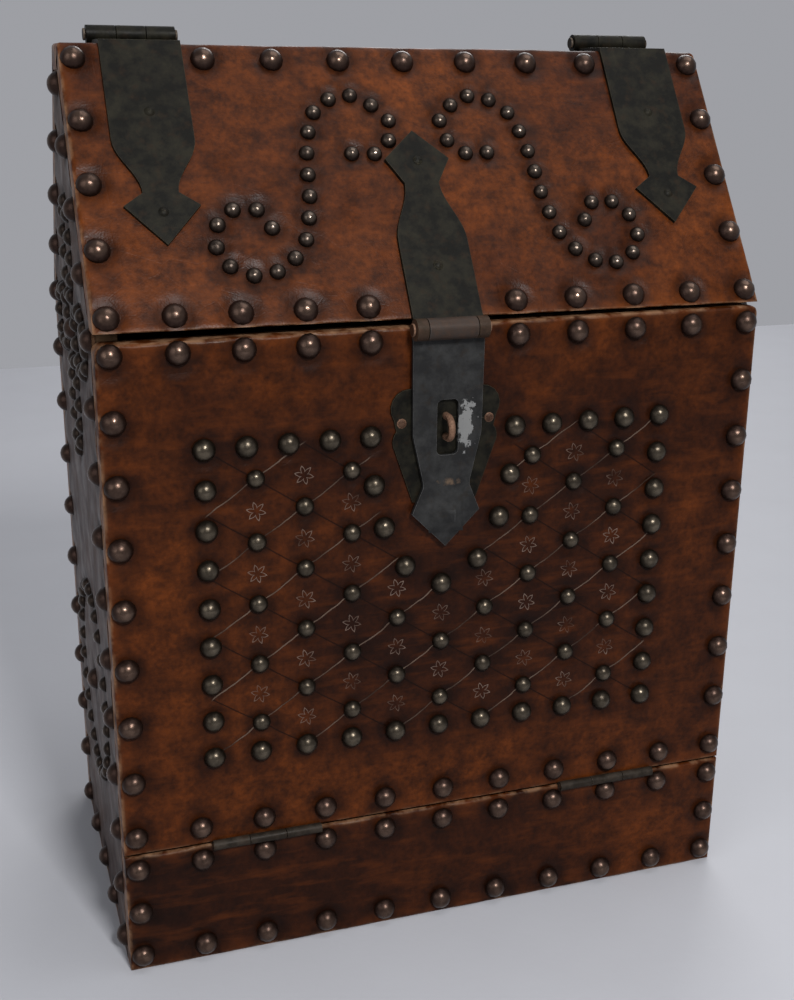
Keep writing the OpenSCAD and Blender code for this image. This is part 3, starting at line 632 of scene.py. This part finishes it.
INTO = {name: (-out.y, -out.z) for name, out in OUT.items()}
front_path = rounded_path(
    [(FRONT_Y, FRONT_LO.z, INTO["front"]), (FRONT_Y, FRONT_HI.z, INTO["front"])], ROLL)
plinth_path = rounded_path(
    [(FRONT_Y, PLINTH_LO.z, INTO["front"]), (FRONT_Y, PLINTH_HI.z, INTO["front"])], ROLL)
level_in = (1 / math.sin(SLOPE), 0)
lid_path = rounded_path(
    [(FRONT_Y, SEAM_Z, level_in),
     (FRONT_Y + 12 * MM * math.cos(SLOPE), SEAM_Z + 12 * MM * math.sin(SLOPE), (INTO["lid"], INTO["lid"])),
     (RIDGE_Y, RIDGE_Z, (INTO["lid"], (0, -1))), (LID_HI.y, RIDGE_Z, (0, -1))], 2 * MM)
back_end_in = (0, -1 / math.cos(SLOPE))
back_path = rounded_path(
    [(BACK_Y, 0, INTO["back"]), (BACK_Y, SEAM_Z, (INTO["back"], INTO["back_slope"])),
     (-RIDGE_Y + 12 * MM * math.cos(SLOPE), RIDGE_Z - 12 * MM * math.sin(SLOPE),
      (INTO["back_slope"], INTO["back_slope"])), (-RIDGE_Y, RIDGE_Z, back_end_in)], 2 * MM)
print("lid hide", round(lid_path[-1, 0] / MM, 1), "mm; back hide", round(back_path[-1, 0] / MM, 1), "mm")

# %% [markdown]
# ## Tooling of the front
# Fine lines run diagonally from nail to nail and make diamonds, and a six-point star is stamped in
# the middle of each. The pattern is worked out from the lattice's own corners: with the cell's width
# and height as units, nails lie where the sum of the two numbers is even, and stars where it is odd.

# %% Lattice numbers
lattice = [m for m, r, h in nails["lattice_border_nails"]]
LAT_X0, LAT_X1 = min(m.x for m in lattice), max(m.x for m in lattice)
LAT_Z0, LAT_Z1 = min(m.z for m in lattice), max(m.z for m in lattice)
bottom_row = [m for m in lattice if m.z < LAT_Z0 + 1 * MM]
COLS = len(bottom_row) - 1
ROWS = COLS
CELL_X, CELL_Z = (LAT_X1 - LAT_X0) / COLS, (LAT_Z1 - LAT_Z0) / ROWS
ARCH_X = (LAT_X0 + LAT_X1) / 2
arch = [m for m in lattice if LAT_X0 + 1 * MM < m.x < LAT_X1 - 1 * MM and LAT_Z0 + 1 * MM < m.z < LAT_Z1 - 1 * MM]
ARCH_DEPTH = LAT_Z1 - min(m.z for m in arch)
ARCH_HALF = min(abs(m.x - ARCH_X) for m in lattice if m.z > LAT_Z1 - 1 * MM)
STAR_OUT, STAR_IN = 4.3 * MM, 1.5 * MM
print(f"cells {CELL_X / MM:.2f} by {CELL_Z / MM:.2f} mm, arch {ARCH_HALF / MM:.1f} by {ARCH_DEPTH / MM:.1f} mm")


def tooled_area(x, z):
    """1 inside the lattice and outside the arch of nails, with a soft edge."""
    inside = np.minimum.reduce([x - LAT_X0, LAT_X1 - x, z - LAT_Z0, LAT_Z1 - z]) / (1 * MM)
    arch_gap = (np.hypot((x - ARCH_X) / ARCH_HALF, (LAT_Z1 - z) / ARCH_DEPTH) - 1) * ARCH_HALF / (1 * MM)
    return np.clip(inside + 0.5, 0, 1) * np.clip(arch_gap, 0, 1)


def starred_area(x, z):
    """1 where the nearest star's middle lies well inside the lattice."""
    u, v = (x - LAT_X0) / CELL_X, (z - LAT_Z0) / CELL_Z
    p, q = np.round((u + v + 1) / 2), np.round((u - v + 1) / 2)
    i, k = p + q - 1, p - q
    inside = (i > 0.5) & (i < COLS - 0.5) & (k > 0.5) & (k < ROWS - 0.5)
    mx, mz = LAT_X0 + i * CELL_X, LAT_Z0 + k * CELL_Z
    arch_gap = (np.hypot((mx - ARCH_X) / ARCH_HALF, (LAT_Z1 - mz) / ARCH_DEPTH) - 1) * ARCH_HALF
    return (inside & (arch_gap > 6 * MM)).astype(float)


def tool_marks(x, z, line_mm=0.55):
    """Depth from 0 to 1 of the diagonal lines and the stars."""
    u, v = (x - LAT_X0) / CELL_X, (z - LAT_Z0) / CELL_Z
    size = CELL_X * CELL_Z / math.hypot(CELL_X, CELL_Z)
    lines = np.full_like(x, 1.0)
    for diagonal in ((u + v) / 2, (u - v) / 2):
        lines = np.minimum(lines, abs(diagonal - np.round(diagonal)) * 2 * size)
    p, q = (u + v + 1) / 2, (u - v + 1) / 2
    dp, dq = p - np.round(p), q - np.round(q)
    dx, dz = (dp + dq) * CELL_X, (dp - dq) * CELL_Z
    sixth = math.tau / 6
    wedge = abs((np.arctan2(dz, dx) / sixth + 0.25) % 1 - 0.5) * 2
    star = abs(np.hypot(dx, dz) - (STAR_IN + (STAR_OUT - STAR_IN) * wedge))
    lines = 0.6 * np.exp(-((lines / (line_mm * MM)) ** 2)) * tooled_area(x, z)
    return np.maximum(lines, np.exp(-((star / (line_mm * MM)) ** 2)) * starred_area(x, z))


# %% [markdown]
# ## The finish of the leather
# Vegetable-tanned leather takes dye unevenly. Broad clouds of orange and dark brown lie under finer
# mottling, the grain is a net of tiny pores, the skin is darker round the nails, and the rims are
# rubbed. A thin pale line along each rolled edge is partly leather rubbed bare and partly a painted
# highlight where the rounded edge would catch the light. The tooled lines are cut sharp in the
# material too, from the same numbers as the geometry.


# %% Leather
def tooling_nodes(tree):
    """The same lines and stars as tool_marks, from Object coordinates."""
    where = node(tree, "ShaderNodeTexCoord").outputs["Object"]
    apart = node(tree, "ShaderNodeSeparateXYZ")
    tree.links.new(where, apart.inputs[0])
    wobble = calc(tree, "MULTIPLY", calc(tree, "SUBTRACT", noise(tree, 14, 2), 0.5), 1.2 * MM)
    x = calc(tree, "ADD", apart.outputs["X"], wobble)
    z = calc(tree, "SUBTRACT", apart.outputs["Z"], wobble)
    u = calc(tree, "DIVIDE", calc(tree, "SUBTRACT", x, LAT_X0), CELL_X)
    v = calc(tree, "DIVIDE", calc(tree, "SUBTRACT", z, LAT_Z0), CELL_Z)
    size = CELL_X * CELL_Z / math.hypot(CELL_X, CELL_Z)

    def off_whole(value):
        return calc(tree, "SUBTRACT", value, calc(tree, "ROUND", value))

    both = [calc(tree, "MULTIPLY", calc(tree, kind, u, v), 0.5) for kind in ("ADD", "SUBTRACT")]
    near = calc(tree, "MINIMUM", *[calc(tree, "ABSOLUTE", off_whole(d)) for d in both])
    line = calc(tree, "LESS_THAN", calc(tree, "MULTIPLY", near, 2 * size), 0.32 * MM)
    rising = calc(tree, "LESS_THAN", calc(tree, "MULTIPLY", calc(tree, "ABSOLUTE", off_whole(both[1])), 2 * size), 0.28 * MM)
    dp, dq = [off_whole(calc(tree, "ADD", d, 0.5)) for d in both]
    dx = calc(tree, "MULTIPLY", calc(tree, "ADD", dp, dq), CELL_X)
    dz = calc(tree, "MULTIPLY", calc(tree, "SUBTRACT", dp, dq), CELL_Z)
    turn = calc(tree, "MULTIPLY", calc(tree, "ARCTAN2", dz, dx), 6 / math.tau)
    part = calc(tree, "FRACT", calc(tree, "ADD", turn, 6.25))
    wedge = calc(tree, "MULTIPLY", calc(tree, "ABSOLUTE", calc(tree, "SUBTRACT", part, 0.5)), 2)
    outline = calc(tree, "MULTIPLY_ADD", wedge, STAR_OUT - STAR_IN, STAR_IN)
    length = calc(tree, "SQRT", calc(tree, "ADD", calc(tree, "MULTIPLY", dx, dx), calc(tree, "MULTIPLY", dz, dz)))
    star = calc(tree, "LESS_THAN", calc(tree, "ABSOLUTE", calc(tree, "SUBTRACT", length, outline)), 0.34 * MM)
    area, starred = painted(tree, "tooled"), painted(tree, "starred")
    return [calc(tree, "MULTIPLY", *pair) for pair in ((line, area), (star, starred), (rising, area))]


def leather(name, dark, mid, warm, seed, tooled=False):
    material, tree = new_material(name)
    place = (seed * 0.7, seed * 0.31, seed * 0.17)
    clouds = calc(tree, "MULTIPLY_ADD", painted(tree, "tone"), 0.55, calc(tree, "MULTIPLY", noise(tree, 75, 6, place=place), 0.75))
    color = ramp(tree, clouds, (0.36, dark), (0.56, mid), (0.82, warm))
    color = mix(tree, ramp(tree, noise(tree, 9, 7, place=place, roughness=0.65), (0.35, 0.75), (0.7, 0.0)), color, dark)
    color = mix(tree, ramp(tree, noise(tree, 2.4, 5, place=place), (0.4, 0.0), (0.72, 0.5)), color, tuple(0.45 * c for c in dark))
    wiped = noise(tree, 22, 5, stretch=(1, 1, 5), place=place)
    color = mix(tree, ramp(tree, wiped, (0.5, 0.0), (0.75, 0.35)), color, warm)
    # The leather is painted darker round each nail, out to about 7 mm from its rim.
    color = mix(tree, calc(tree, "MULTIPLY", ramp(tree, painted(tree, "halo"), (0.0, 0.0), (1.0, 0.8)), 0.8), color, tuple(0.3 * c for c in dark))
    rubbed = calc(tree, "MULTIPLY", painted(tree, "edge"), ramp(tree, noise(tree, 12, 5), (0.4, 0.0), (0.75, 0.5)))
    color = mix(tree, rubbed, color, tuple(1.25 * c for c in warm))
    # A pale tan line along each rolled edge: partly leather rubbed bare, partly a painted highlight where the rounded
    # edge would catch the light.
    bare_rim_and_highlight = calc(tree, "MULTIPLY", painted(tree, "rim"), ramp(tree, noise(tree, 7, 5, place=place), (0.4, 0.0), (0.6, 0.85)))
    color = mix(tree, bare_rim_and_highlight, color, (0.24, 0.13, 0.07))
    pores = cells(tree, 0.9)
    grain = calc(tree, "ADD", calc(tree, "MULTIPLY", pores, 0.6), noise(tree, 3.5, 6))
    relief = bump(tree, grain, 0.2, strength=0.4)
    creases = ramp(tree, cells(tree, 14, "DISTANCE_TO_EDGE"), (0.0, 0.0), (0.03, 1.0))
    relief = bump(tree, creases, 0.1, relief, strength=0.3)
    rough = ramp(tree, noise(tree, 16, 5, place=place), (0.3, 0.3), (0.75, 0.52))
    if tooled:
        line, star, rising = tooling_nodes(tree)
        scuffed = ramp(tree, noise(tree, 20, 4), (0.35, 0.15), (0.6, 0.75))
        color = mix(tree, calc(tree, "MULTIPLY", line, 0.7), color, tuple(0.5 * c for c in dark))
        color = mix(tree, calc(tree, "MULTIPLY", rising, scuffed), color, (0.14, 0.095, 0.07))
        color = mix(tree, calc(tree, "MULTIPLY", star, scuffed), color, (0.17, 0.12, 0.095))
        cut = calc(tree, "SUBTRACT", 1.0, calc(tree, "MAXIMUM", line, star))
        relief = bump(tree, cut, 0.3, relief, strength=0.8)
    surface(tree, color, rough, relief, **{"Specular IOR Level": 0.1})
    return material


def raw_edge():
    """The cut edge of the hide: pale, fibrous, a little dirty."""
    material, tree = new_material("raw_leather_edge")
    fibres = noise(tree, 2.2, 6, stretch=(0.3, 1, 1))
    color = ramp(tree, fibres, (0.3, (0.09, 0.045, 0.02)), (0.6, (0.34, 0.2, 0.11)), (0.8, (0.46, 0.31, 0.19)))
    surface(tree, color, 0.85, bump(tree, fibres, 0.2))
    return material


DARK, MID, WARM = (0.0095, 0.0026, 0.001), (0.042, 0.0098, 0.0021), (0.115, 0.027, 0.0042)
# The lid's hide gets lighter browns than the front's: partly its own warmer leather, partly painted light, as the lid
# faces the light from above.
lid_leather = leather("lid_leather", DARK, (0.064, 0.0142, 0.0026), (0.15, 0.036, 0.0052), 1)
front_leather = leather("front_leather", DARK, MID, WARM, 2, tooled=True)
plinth_leather = leather("plinth_leather", DARK, MID, WARM, 3)
side_leather = leather("side_leather", DARK, (0.05, 0.022, 0.013), (0.09, 0.042, 0.022), 4)
edge_leather = raw_edge()


# %% [markdown]
# ## The front's hide
# The front is a loose board that falls forward. Its hide wraps all its edges, its upper corners are
# rounded, and its top edge isn't quite parallel to the lid: the gap is wider at the left.

# %% The front
def finish_hide(piece, material, tone, body, slot, *cad_nodes):
    co = points_of(piece)
    paint(piece, "tone", np.clip(tone(co), 0, 1))
    piece.data.materials.append(material)
    piece.data.materials.append(edge_leather)
    smooth(piece, 45)
    belongs(piece, body, slot, *cad_nodes)
    print(piece.name, len(piece.data.polygons), "faces")


CORNER = 4 * MM


def round_corners(co, top, lower, radius):
    """Pulls the square upper corners of a flat panel onto a quarter circle."""
    for side in (-1, 1):
        u = (side * co[:, 0] - (HALF_W - radius)) / radius
        v = (co[:, 1] - (top - radius)) / radius
        near = (u > 0) & (v > 0)
        cu, cv = np.clip(u, 0, 1)[near], np.clip(v, 0, 1)[near]
        co[near, 0] = side * (HALF_W - radius + radius * cu * np.sqrt(1 - cv * cv / 2))
        co[near, 1] = top - radius + radius * cv * np.sqrt(1 - cu * cu / 2)
    return co


front_h = FRONT_HI.z - FRONT_LO.z
front_mid = (FRONT_HI.z + FRONT_LO.z) / 2
front_hide = flat_hide("front_hide", 2 * HALF_W, front_h, 1.25 * MM, TURN)
work_face(front_hide, spots_on(front_path, "front_border_nails", "lattice_border_nails", "lattice_cross_nails"), 21,
          lambda s, t: tool_marks(s, t + front_mid))
set_points(front_hide, round_corners(points_of(front_hide), front_h / 2, -front_h / 2, CORNER))
fold(front_hide, front_path)
co = points_of(front_hide)
drop = (FRONT_HI.z - LEFT_TOP) * (HALF_W - co[:, 0]) / (2 * HALF_W)
co[:, 2] -= drop * np.clip((co[:, 2] - front_mid) / (FRONT_HI.z - front_mid), 0, 1)
set_points(front_hide, co)
paint(front_hide, "tooled", tooled_area(co[:, 0], co[:, 2]))
paint(front_hide, "starred", starred_area(co[:, 0], co[:, 2]))


def front_tone(co):
    """Darker in the middle and the upper part, warmer towards the left and lower edges."""
    x, z = co[:, 0] / HALF_W, (co[:, 2] - front_mid) / (front_h / 2)
    return 0.34 + 0.4 * np.maximum(abs(x) ** 2.5, abs(z) ** 3) - 0.1 * np.clip(z, 0, 1) - 0.1 * x


finish_hide(front_hide, front_leather, front_tone, "front", "leather", "front_leather")

# %% [markdown]
# ## The plinth, the lid and the back
# The same flat hide is used for the strip of the plinth. The hide of the lid goes over the ridge in
# one piece, and the hide of the back goes up the back slope.

# %% Plinth, lid and back
plinth_hide = flat_hide("plinth_hide", 2 * HALF_W, PLINTH_HI.z - PLINTH_LO.z, 1.6 * MM, TURN)
work_face(plinth_hide, spots_on(plinth_path, "plinth_nails"), 22)
fold(plinth_hide, plinth_path)
finish_hide(plinth_hide, plinth_leather, lambda co: 0.35 + 0.2 * co[:, 0] / HALF_W, "carcass", "leather", "plinth_leather")

lid_hide = flat_hide("lid_hide", 2 * HALF_W, lid_path[-1, 0], 1.4 * MM, TURN)
work_face(lid_hide, spots_on(lid_path, "lid_border_nails", "left_scroll_nails", "right_scroll_nails"), 23)
fold(lid_hide, lid_path)
# The lid's tone is set higher than the front's, which adds to that painted light, and it is lighter in the middle than
# towards the ends.
finish_hide(lid_hide, lid_leather, lambda co: 0.62 - 0.12 * (co[:, 0] / HALF_W) ** 2, "lid", "leather", "lid_leather")

back_hide = flat_hide("back_hide", 2 * HALF_W, back_path[-1, 0], 2.2 * MM, TURN)
work_face(back_hide, spots_on(back_path, "back_nails", "back_slope_nails"), 24)
fold(back_hide, back_path)
finish_hide(back_hide, plinth_leather, lambda co: 0.5 + 0 * co[:, 0], "carcass", "leather", "back_leather")

# %% [markdown]
# ## The sides
# A side is a plain pentagon between the turned edges of the other hides. A grid is cut to the slopes
# by bisecting it, and gets its thickness by extruding it towards the board.


# %% Sides
def side_hide(side):
    name = "right" if side > 0 else "left"
    low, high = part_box(f"{name}_side_leather")
    mid_y, mid_z = (low.y + high.y) / 2, (low.z + high.z) / 2
    w, h = high.y - low.y, high.z - low.z
    cell = 2 * MM
    bpy.ops.object.select_all(action="DESELECT")
    bpy.ops.mesh.primitive_grid_add(x_subdivisions=round(w / cell), y_subdivisions=round(h / cell), size=2)
    piece = start(f"{name}_side_hide")
    piece.scale = (w / 2, h / 2, 1)
    bpy.ops.object.transform_apply(scale=True)
    outline = np.array([v.co for v in frame["nodes"][f"{name}_side_leather"].data.vertices])
    for end in (-1, 1):
        across = outline[:, 1] * end
        eave_z = outline[across > across.max() - 0.1 * MM][:, 2].max()
        eave = Vector((side * (across.max() * end - mid_y), eave_z - mid_z, 0))
        edit(piece)
        bpy.ops.mesh.select_all(action="SELECT")
        slant = Vector((end * side * math.sin(SLOPE), math.cos(SLOPE), 0))
        bpy.ops.mesh.bisect(plane_co=eave, plane_no=slant, clear_outer=True)
        leave()
    co = points_of(piece)
    spots = [(side * (m.y - mid_y), m.z - mid_z, r)
             for n in (f"{name}_side_nails", f"{name}_ring_nails", f"{name}_petal_nails") for m, r, _ in nails[n]]
    work_face(piece, spots, 25 + side)
    edit(piece, "FACE")
    bpy.ops.mesh.select_all(action="SELECT")
    bpy.ops.mesh.extrude_region_move(TRANSFORM_OT_translate={"value": (0, 0, -HIDE)})
    bpy.ops.mesh.select_all(action="SELECT")
    bpy.ops.mesh.normals_make_consistent(inside=False)
    leave()
    co = points_of(piece)
    set_points(piece, np.stack([side * (HALF_W + co[:, 2]), mid_y + side * co[:, 0], mid_z + co[:, 1]], 1))
    finish_hide(piece, side_leather, lambda co: 0.45 + 0 * co[:, 0], "carcass", "side_leather", f"{name}_side_leather")
    return piece


left_hide, right_hide = side_hide(-1), side_hide(1)

# %% [markdown]
# ## Iron
# The straps, the hasp and the plate were cut from sheet and hammered. Fresh from the CAD model their
# edges are too sharp to catch the light, so each gets a welded copy with its edges rounded by a Bevel
# modifier. The black skin of the iron is patchy, with rust in the hollows, and it is rubbed grey at
# the edges and on the high spots.


# %% Iron finish
def ellipse(tree, *spans):
    """Distance from a line, where 1 is an ellipse. A span is an axis, a middle and a radius."""
    apart = node(tree, "ShaderNodeSeparateXYZ")
    tree.links.new(node(tree, "ShaderNodeTexCoord").outputs["Object"], apart.inputs[0])
    squares = []
    for axis, middle, radius in spans:
        share = calc(tree, "DIVIDE", calc(tree, "SUBTRACT", apart.outputs[axis], middle), radius)
        squares.append(calc(tree, "MULTIPLY", share, share))
    return calc(tree, "SQRT", calc(tree, "ADD", *squares))


HASP_LO, HASP_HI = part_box("hasp_hinge_pin")
FLAP_LO, FLAP_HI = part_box("hasp_flap")
STAPLE_LO, STAPLE_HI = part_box("staple")
HASP_X = (FLAP_LO.x + FLAP_HI.x) / 2
SLOT_Z = (STAPLE_LO.z + STAPLE_HI.z) / 2
AXIS_Y, AXIS_Z = (HASP_LO.y + HASP_HI.y) / 2, (HASP_LO.z + HASP_HI.z) / 2
BARREL = FLAP_HI.z - AXIS_Z + 0.4 * MM
TAN, BRIGHT = (0.075, 0.043, 0.028), (0.2, 0.2, 0.195)
# a mark is two spans, how soft its edge is, how ragged it is, and its colour
BARREL_MARK = ((("Y", AXIS_Y, BARREL), ("Z", AXIS_Z, BARREL)), 0.15, 0.2, TAN)
SCRAPED_MARK = ((("X", HASP_X + 8.5 * MM, 5 * MM), ("Z", SLOT_Z + 1 * MM, 11 * MM)), 0.12, 3.2, BRIGHT)
NECK_MARK = ((("X", HASP_X + 1 * MM, 5 * MM), ("Z", FLAP_LO.z + 30 * MM, 2.5 * MM)), 0.6, 3.0, (0.11, 0.075, 0.05))


def iron(name, black, grey, rust, patches, marks=()):
    material, tree = new_material(name)
    skin = noise(tree, 8, 7, roughness=0.65)
    speckle = noise(tree, 0.9, 4)
    color = mix(tree, ramp(tree, skin, (0.42, 0.0), (0.7, patches)), black, grey)
    color = mix(tree, ramp(tree, noise(tree, 5, 6, place=(0.3, 0.1, 0.2)), (0.55, 0.0), (0.75, 0.7)), color, rust)
    worn = painted(tree, "worn")
    color = mix(tree, calc(tree, "MULTIPLY", worn, ramp(tree, speckle, (0.3, 0.25), (0.6, 1.0))), color, tuple(2.4 * c for c in grey))
    ragged = calc(tree, "SUBTRACT", noise(tree, 4, 6, roughness=0.7), 0.45)
    for spans, soft, rag, mark_color in marks:
        reach = calc(tree, "MULTIPLY_ADD", ragged, rag, ellipse(tree, *spans))
        color = mix(tree, ramp(tree, reach, (1.0 - soft, 0.95), (1.0, 0.0)), color, mark_color)
    rough = ramp(tree, calc(tree, "ADD", skin, calc(tree, "MULTIPLY", speckle, 0.4)), (0.4, 0.34), (0.95, 0.62))
    relief = bump(tree, noise(tree, 7, 3), 0.4, strength=0.35)
    relief = bump(tree, speckle, 0.1, relief, strength=0.45)
    surface(tree, color, rough, relief, Metallic=0.15, **{"Specular IOR Level": 0.1})
    return material


strap_iron = iron("blackened_iron", (0.0045, 0.0042, 0.003), (0.024, 0.021, 0.013), (0.02, 0.0115, 0.006), 0.7,
                  marks=(BARREL_MARK,))
flap_iron = iron("grey_iron", (0.016, 0.016, 0.016), (0.042, 0.042, 0.041), (0.022, 0.017, 0.013), 0.7,
                 marks=(BARREL_MARK, SCRAPED_MARK, NECK_MARK))
rust_iron = iron("rusty_iron", (0.035, 0.016, 0.0095), (0.095, 0.054, 0.035), (0.055, 0.024, 0.013), 0.8)
hinge_steel = iron("dull_steel", (0.017, 0.013, 0.0095), (0.055, 0.043, 0.033), (0.026, 0.014, 0.008), 0.7)


NARROW = 0.83


def forged(node_name, new_name, slot, material, edge_mm=0.35, cuts=()):
    """A welded copy of a CAD node with rounded, worn edges, and extra edges where planes cut it."""
    source = frame["nodes"][node_name]
    piece = bpy.data.objects.new(new_name, source.data.copy())
    bpy.context.scene.collection.objects.link(piece)
    edit(piece)
    bpy.ops.mesh.select_all(action="SELECT")
    bpy.ops.mesh.remove_doubles(threshold=0.004 * MM)
    bpy.ops.mesh.dissolve_limited(angle_limit=math.radians(2))
    for place, normal in cuts:
        bpy.ops.mesh.select_all(action="SELECT")
        bpy.ops.mesh.bisect(plane_co=place, plane_no=normal)
    leave()
    before = len(piece.data.vertices)
    apply_modifier(piece, "BEVEL", width=edge_mm * MM, segments=2, limit_method="ANGLE", angle_limit=math.radians(40))
    layer = piece.data.attributes.new("worn", "FLOAT", "FACE")
    for face in piece.data.polygons:
        corners = [piece.data.vertices[i].co for i in face.vertices]
        round_it = sum((a - b).length for a, b in zip(corners, corners[1:] + corners[:1]))
        layer.data[face.index].value = 0.8 if 2 * face.area / round_it < NARROW * edge_mm * MM else 0.0
    piece.data.materials.clear()
    piece.data.materials.append(material)
    smooth(piece, 32)
    apply_modifier(piece, "WEIGHTED_NORMAL", keep_sharp=True)
    belongs(piece, BODY_OF[node_name], slot, node_name)
    print(new_name, before, "->", len(piece.data.vertices), "vertices")
    return piece


# %% Iron pieces
FACET_TOP = (HASP_X + 3 * MM, 0, FLAP_LO.z + 28.5 * MM)
for side_name in ("left", "right"):
    forged(f"{side_name}_lid_strap", f"{side_name}_strap", "black_iron", strap_iron)
    forged(f"{side_name}_back_leaf", f"{side_name}_rear_leaf", "black_iron", strap_iron)
    forged(f"{side_name}_lid_hinge_pin", f"{side_name}_strap_pin", "staple_iron", hinge_steel, 0.25)
    forged(f"{side_name}_front_hinge_fixed_leaf", f"{side_name}_butt_fixed", "hinge_steel", hinge_steel, 0.2)
    forged(f"{side_name}_front_hinge_moving_leaf", f"{side_name}_butt_moving", "hinge_steel", hinge_steel, 0.2)
    forged(f"{side_name}_front_hinge_pin", f"{side_name}_butt_pin", "staple_iron", rust_iron, 0.15)
forged("hasp_strap", "hasp_upper", "black_iron", strap_iron)
hasp_lower = forged("hasp_flap", "hasp_lower", "black_iron", flap_iron,
                    cuts=((FACET_TOP, (0, 0, 1)), (FACET_TOP, (1, 0, 0))))

# %% [markdown]
# The tip of the flap was forged with a ridge down its middle, so that it catches the light on one
# side. The plane cuts above gave it the edges for that, and here the ridge is drawn forward.

# %% Ridge of the flap
co = points_of(hasp_lower)
tip = co[:, 2] < FACET_TOP[2] + 0.01 * MM
plate_front, plate_back = co[tip][:, 1].min(), co[tip][:, 1].max()
outer = tip & (co[:, 1] < (plate_front + plate_back) / 2)
down = np.clip((FACET_TOP[2] - co[:, 2]) / (4 * MM), 0, 1)
beside = np.clip(abs(co[:, 0] - FACET_TOP[0]) / (0.5 * (FLAP_HI.x - FLAP_LO.x)), 0, 1)
co[:, 1] -= 1.6 * MM * np.where(outer, np.maximum(0.35, down) * (1 - beside), 0)
set_points(hasp_lower, co)
smooth(hasp_lower, 32)
apply_modifier(hasp_lower, "WEIGHTED_NORMAL", keep_sharp=True)
print("flap plate", round((plate_back - plate_front) / MM, 2), "mm thick, slot at", round(SLOT_Z / MM, 1))

# %% The small iron pieces
for source_name, new_name, slot_name, metal, edge in (
        ("hasp_hinge_pin", "hasp_rod", "staple_iron", rust_iron, 0.25),
        ("escutcheon_plate", "lock_plate", "black_iron", strap_iron, 0.25),
        ("staple", "staple_loop", "staple_iron", rust_iron, 0.2),
        ("lid_strap_pins", "strap_rivets", "black_iron", strap_iron, 0.1),
        ("hasp_strap_pins", "hasp_rivets", "black_iron", strap_iron, 0.1),
        ("back_leaf_pins", "rear_leaf_rivets", "black_iron", strap_iron, 0.1),
        ("escutcheon_pins", "lock_plate_rivets", "staple_iron", rust_iron, 0.1)):
    forged(source_name, new_name, slot_name, metal, edge)

# %% [markdown]
# ## Old wood
# The boards only show when the box is open. They are softwood: long fibres with darker late growth,
# greyed and stained by a century of coins. The grain is noise that is stretched along each board.


# %% Wood
def wood(name, along):
    material, tree = new_material(name)
    stretch = tuple(0.06 if k == along else 1 for k in range(3))
    fibres = noise(tree, 3, 6, stretch=stretch)
    rings = noise(tree, 14, 3, stretch=stretch)
    color = ramp(tree, rings, (0.35, (0.085, 0.046, 0.023)), (0.55, (0.17, 0.1, 0.053)), (0.7, (0.12, 0.066, 0.034)))
    color = mix(tree, ramp(tree, fibres, (0.4, 0.0), (0.7, 0.6)), color, (0.05, 0.028, 0.016))
    color = mix(tree, ramp(tree, noise(tree, 40, 6), (0.5, 0.0), (0.8, 0.6)), color, (0.03, 0.019, 0.012))
    surface(tree, color, 0.75, bump(tree, fibres, 0.25, strength=0.6), **{"Specular IOR Level": 0.15})
    return material


wood_x, wood_z = wood("board_grain_across", 0), wood("board_grain_upright", 2)
for name, cad_node in frame["nodes"].items():
    if name.endswith("_board"):
        material = wood_z if "side" in name else wood_x
    elif name.endswith("hinge_nails"):
        material = hinge_steel
    else:
        continue
    cad_node.data.materials.clear()
    cad_node.data.materials.append(material)
    print("finish on", name)

# %% [markdown]
# ## Floor, backdrop and light
# The box stands on a pale floor. Behind it there is only the world, which the camera and the shiny
# parts see as a pale grey, while it lights the object much more softly. One lamp in front and above
# makes the small bright spot on each dome. Three broad ones fill in from the left, from above and from behind.

# %% Stage
FLOOR_SIZE = 2.6
bpy.ops.object.select_all(action="DESELECT")
bpy.ops.mesh.primitive_plane_add(size=FLOOR_SIZE, location=(0, 0, -0.2 * MM))
floor = start("floor")
floor_material, floor_tree = new_material("painted_plaster")
shade = mix(floor_tree, ramp(floor_tree, noise(floor_tree, 60, 5), (0.3, 0.0), (0.8, 0.25)),
            (0.5, 0.505, 0.54), (0.43, 0.43, 0.46))
surface(floor_tree, shade, 0.6, bump(floor_tree, noise(floor_tree, 5, 4), 0.3, strength=0.3))
floor.data.materials.append(floor_material)


def lamp(name, place, size, power, color=(1, 1, 1)):
    data = bpy.data.lights.new(name, "AREA")
    data.size = size
    data.energy = power
    data.color = color
    made = bpy.data.objects.new(name, data)
    bpy.context.scene.collection.objects.link(made)
    made.location = place
    aim = Vector((0, 0, 0.2)) - Vector(place)
    made.rotation_euler = aim.to_track_quat("-Z", "Y").to_euler()


lamp("key", (0.1, -1.5, 1.3), 0.3, 27)
lamp("fill", (-1.5, -0.9, 0.9), 1.2, 8)
lamp("top", (0.5, -0.1, 1.8), 1.2, 8)
lamp("behind", (0.9, 1.7, 1.3), 1.2, 14)

world = bpy.data.worlds.new("studio")
world.use_nodes = True
sky = world.node_tree
seen = sky.nodes["Background"]
seen.inputs["Color"].default_value = (0.34, 0.345, 0.37, 1)
soft = node(sky, "ShaderNodeBackground", Strength=0.24)
soft.inputs["Color"].default_value = (0.8, 0.83, 0.9, 1)
rays = node(sky, "ShaderNodeLightPath")
direct = calc(sky, "MAXIMUM", rays.outputs["Is Camera Ray"],
              calc(sky, "MAXIMUM", rays.outputs["Is Glossy Ray"], rays.outputs["Is Transmission Ray"]))
either = node(sky, "ShaderNodeMixShader")
sky.links.new(value_of(sky, direct), either.inputs[0])
sky.links.new(soft.outputs[0], either.inputs[1])
sky.links.new(seen.outputs[0], either.inputs[2])
sky.links.new(either.outputs[0], sky.nodes["World Output"].inputs["Surface"])
bpy.context.scene.world = world
bpy.context.scene.view_settings.view_transform = "Standard"
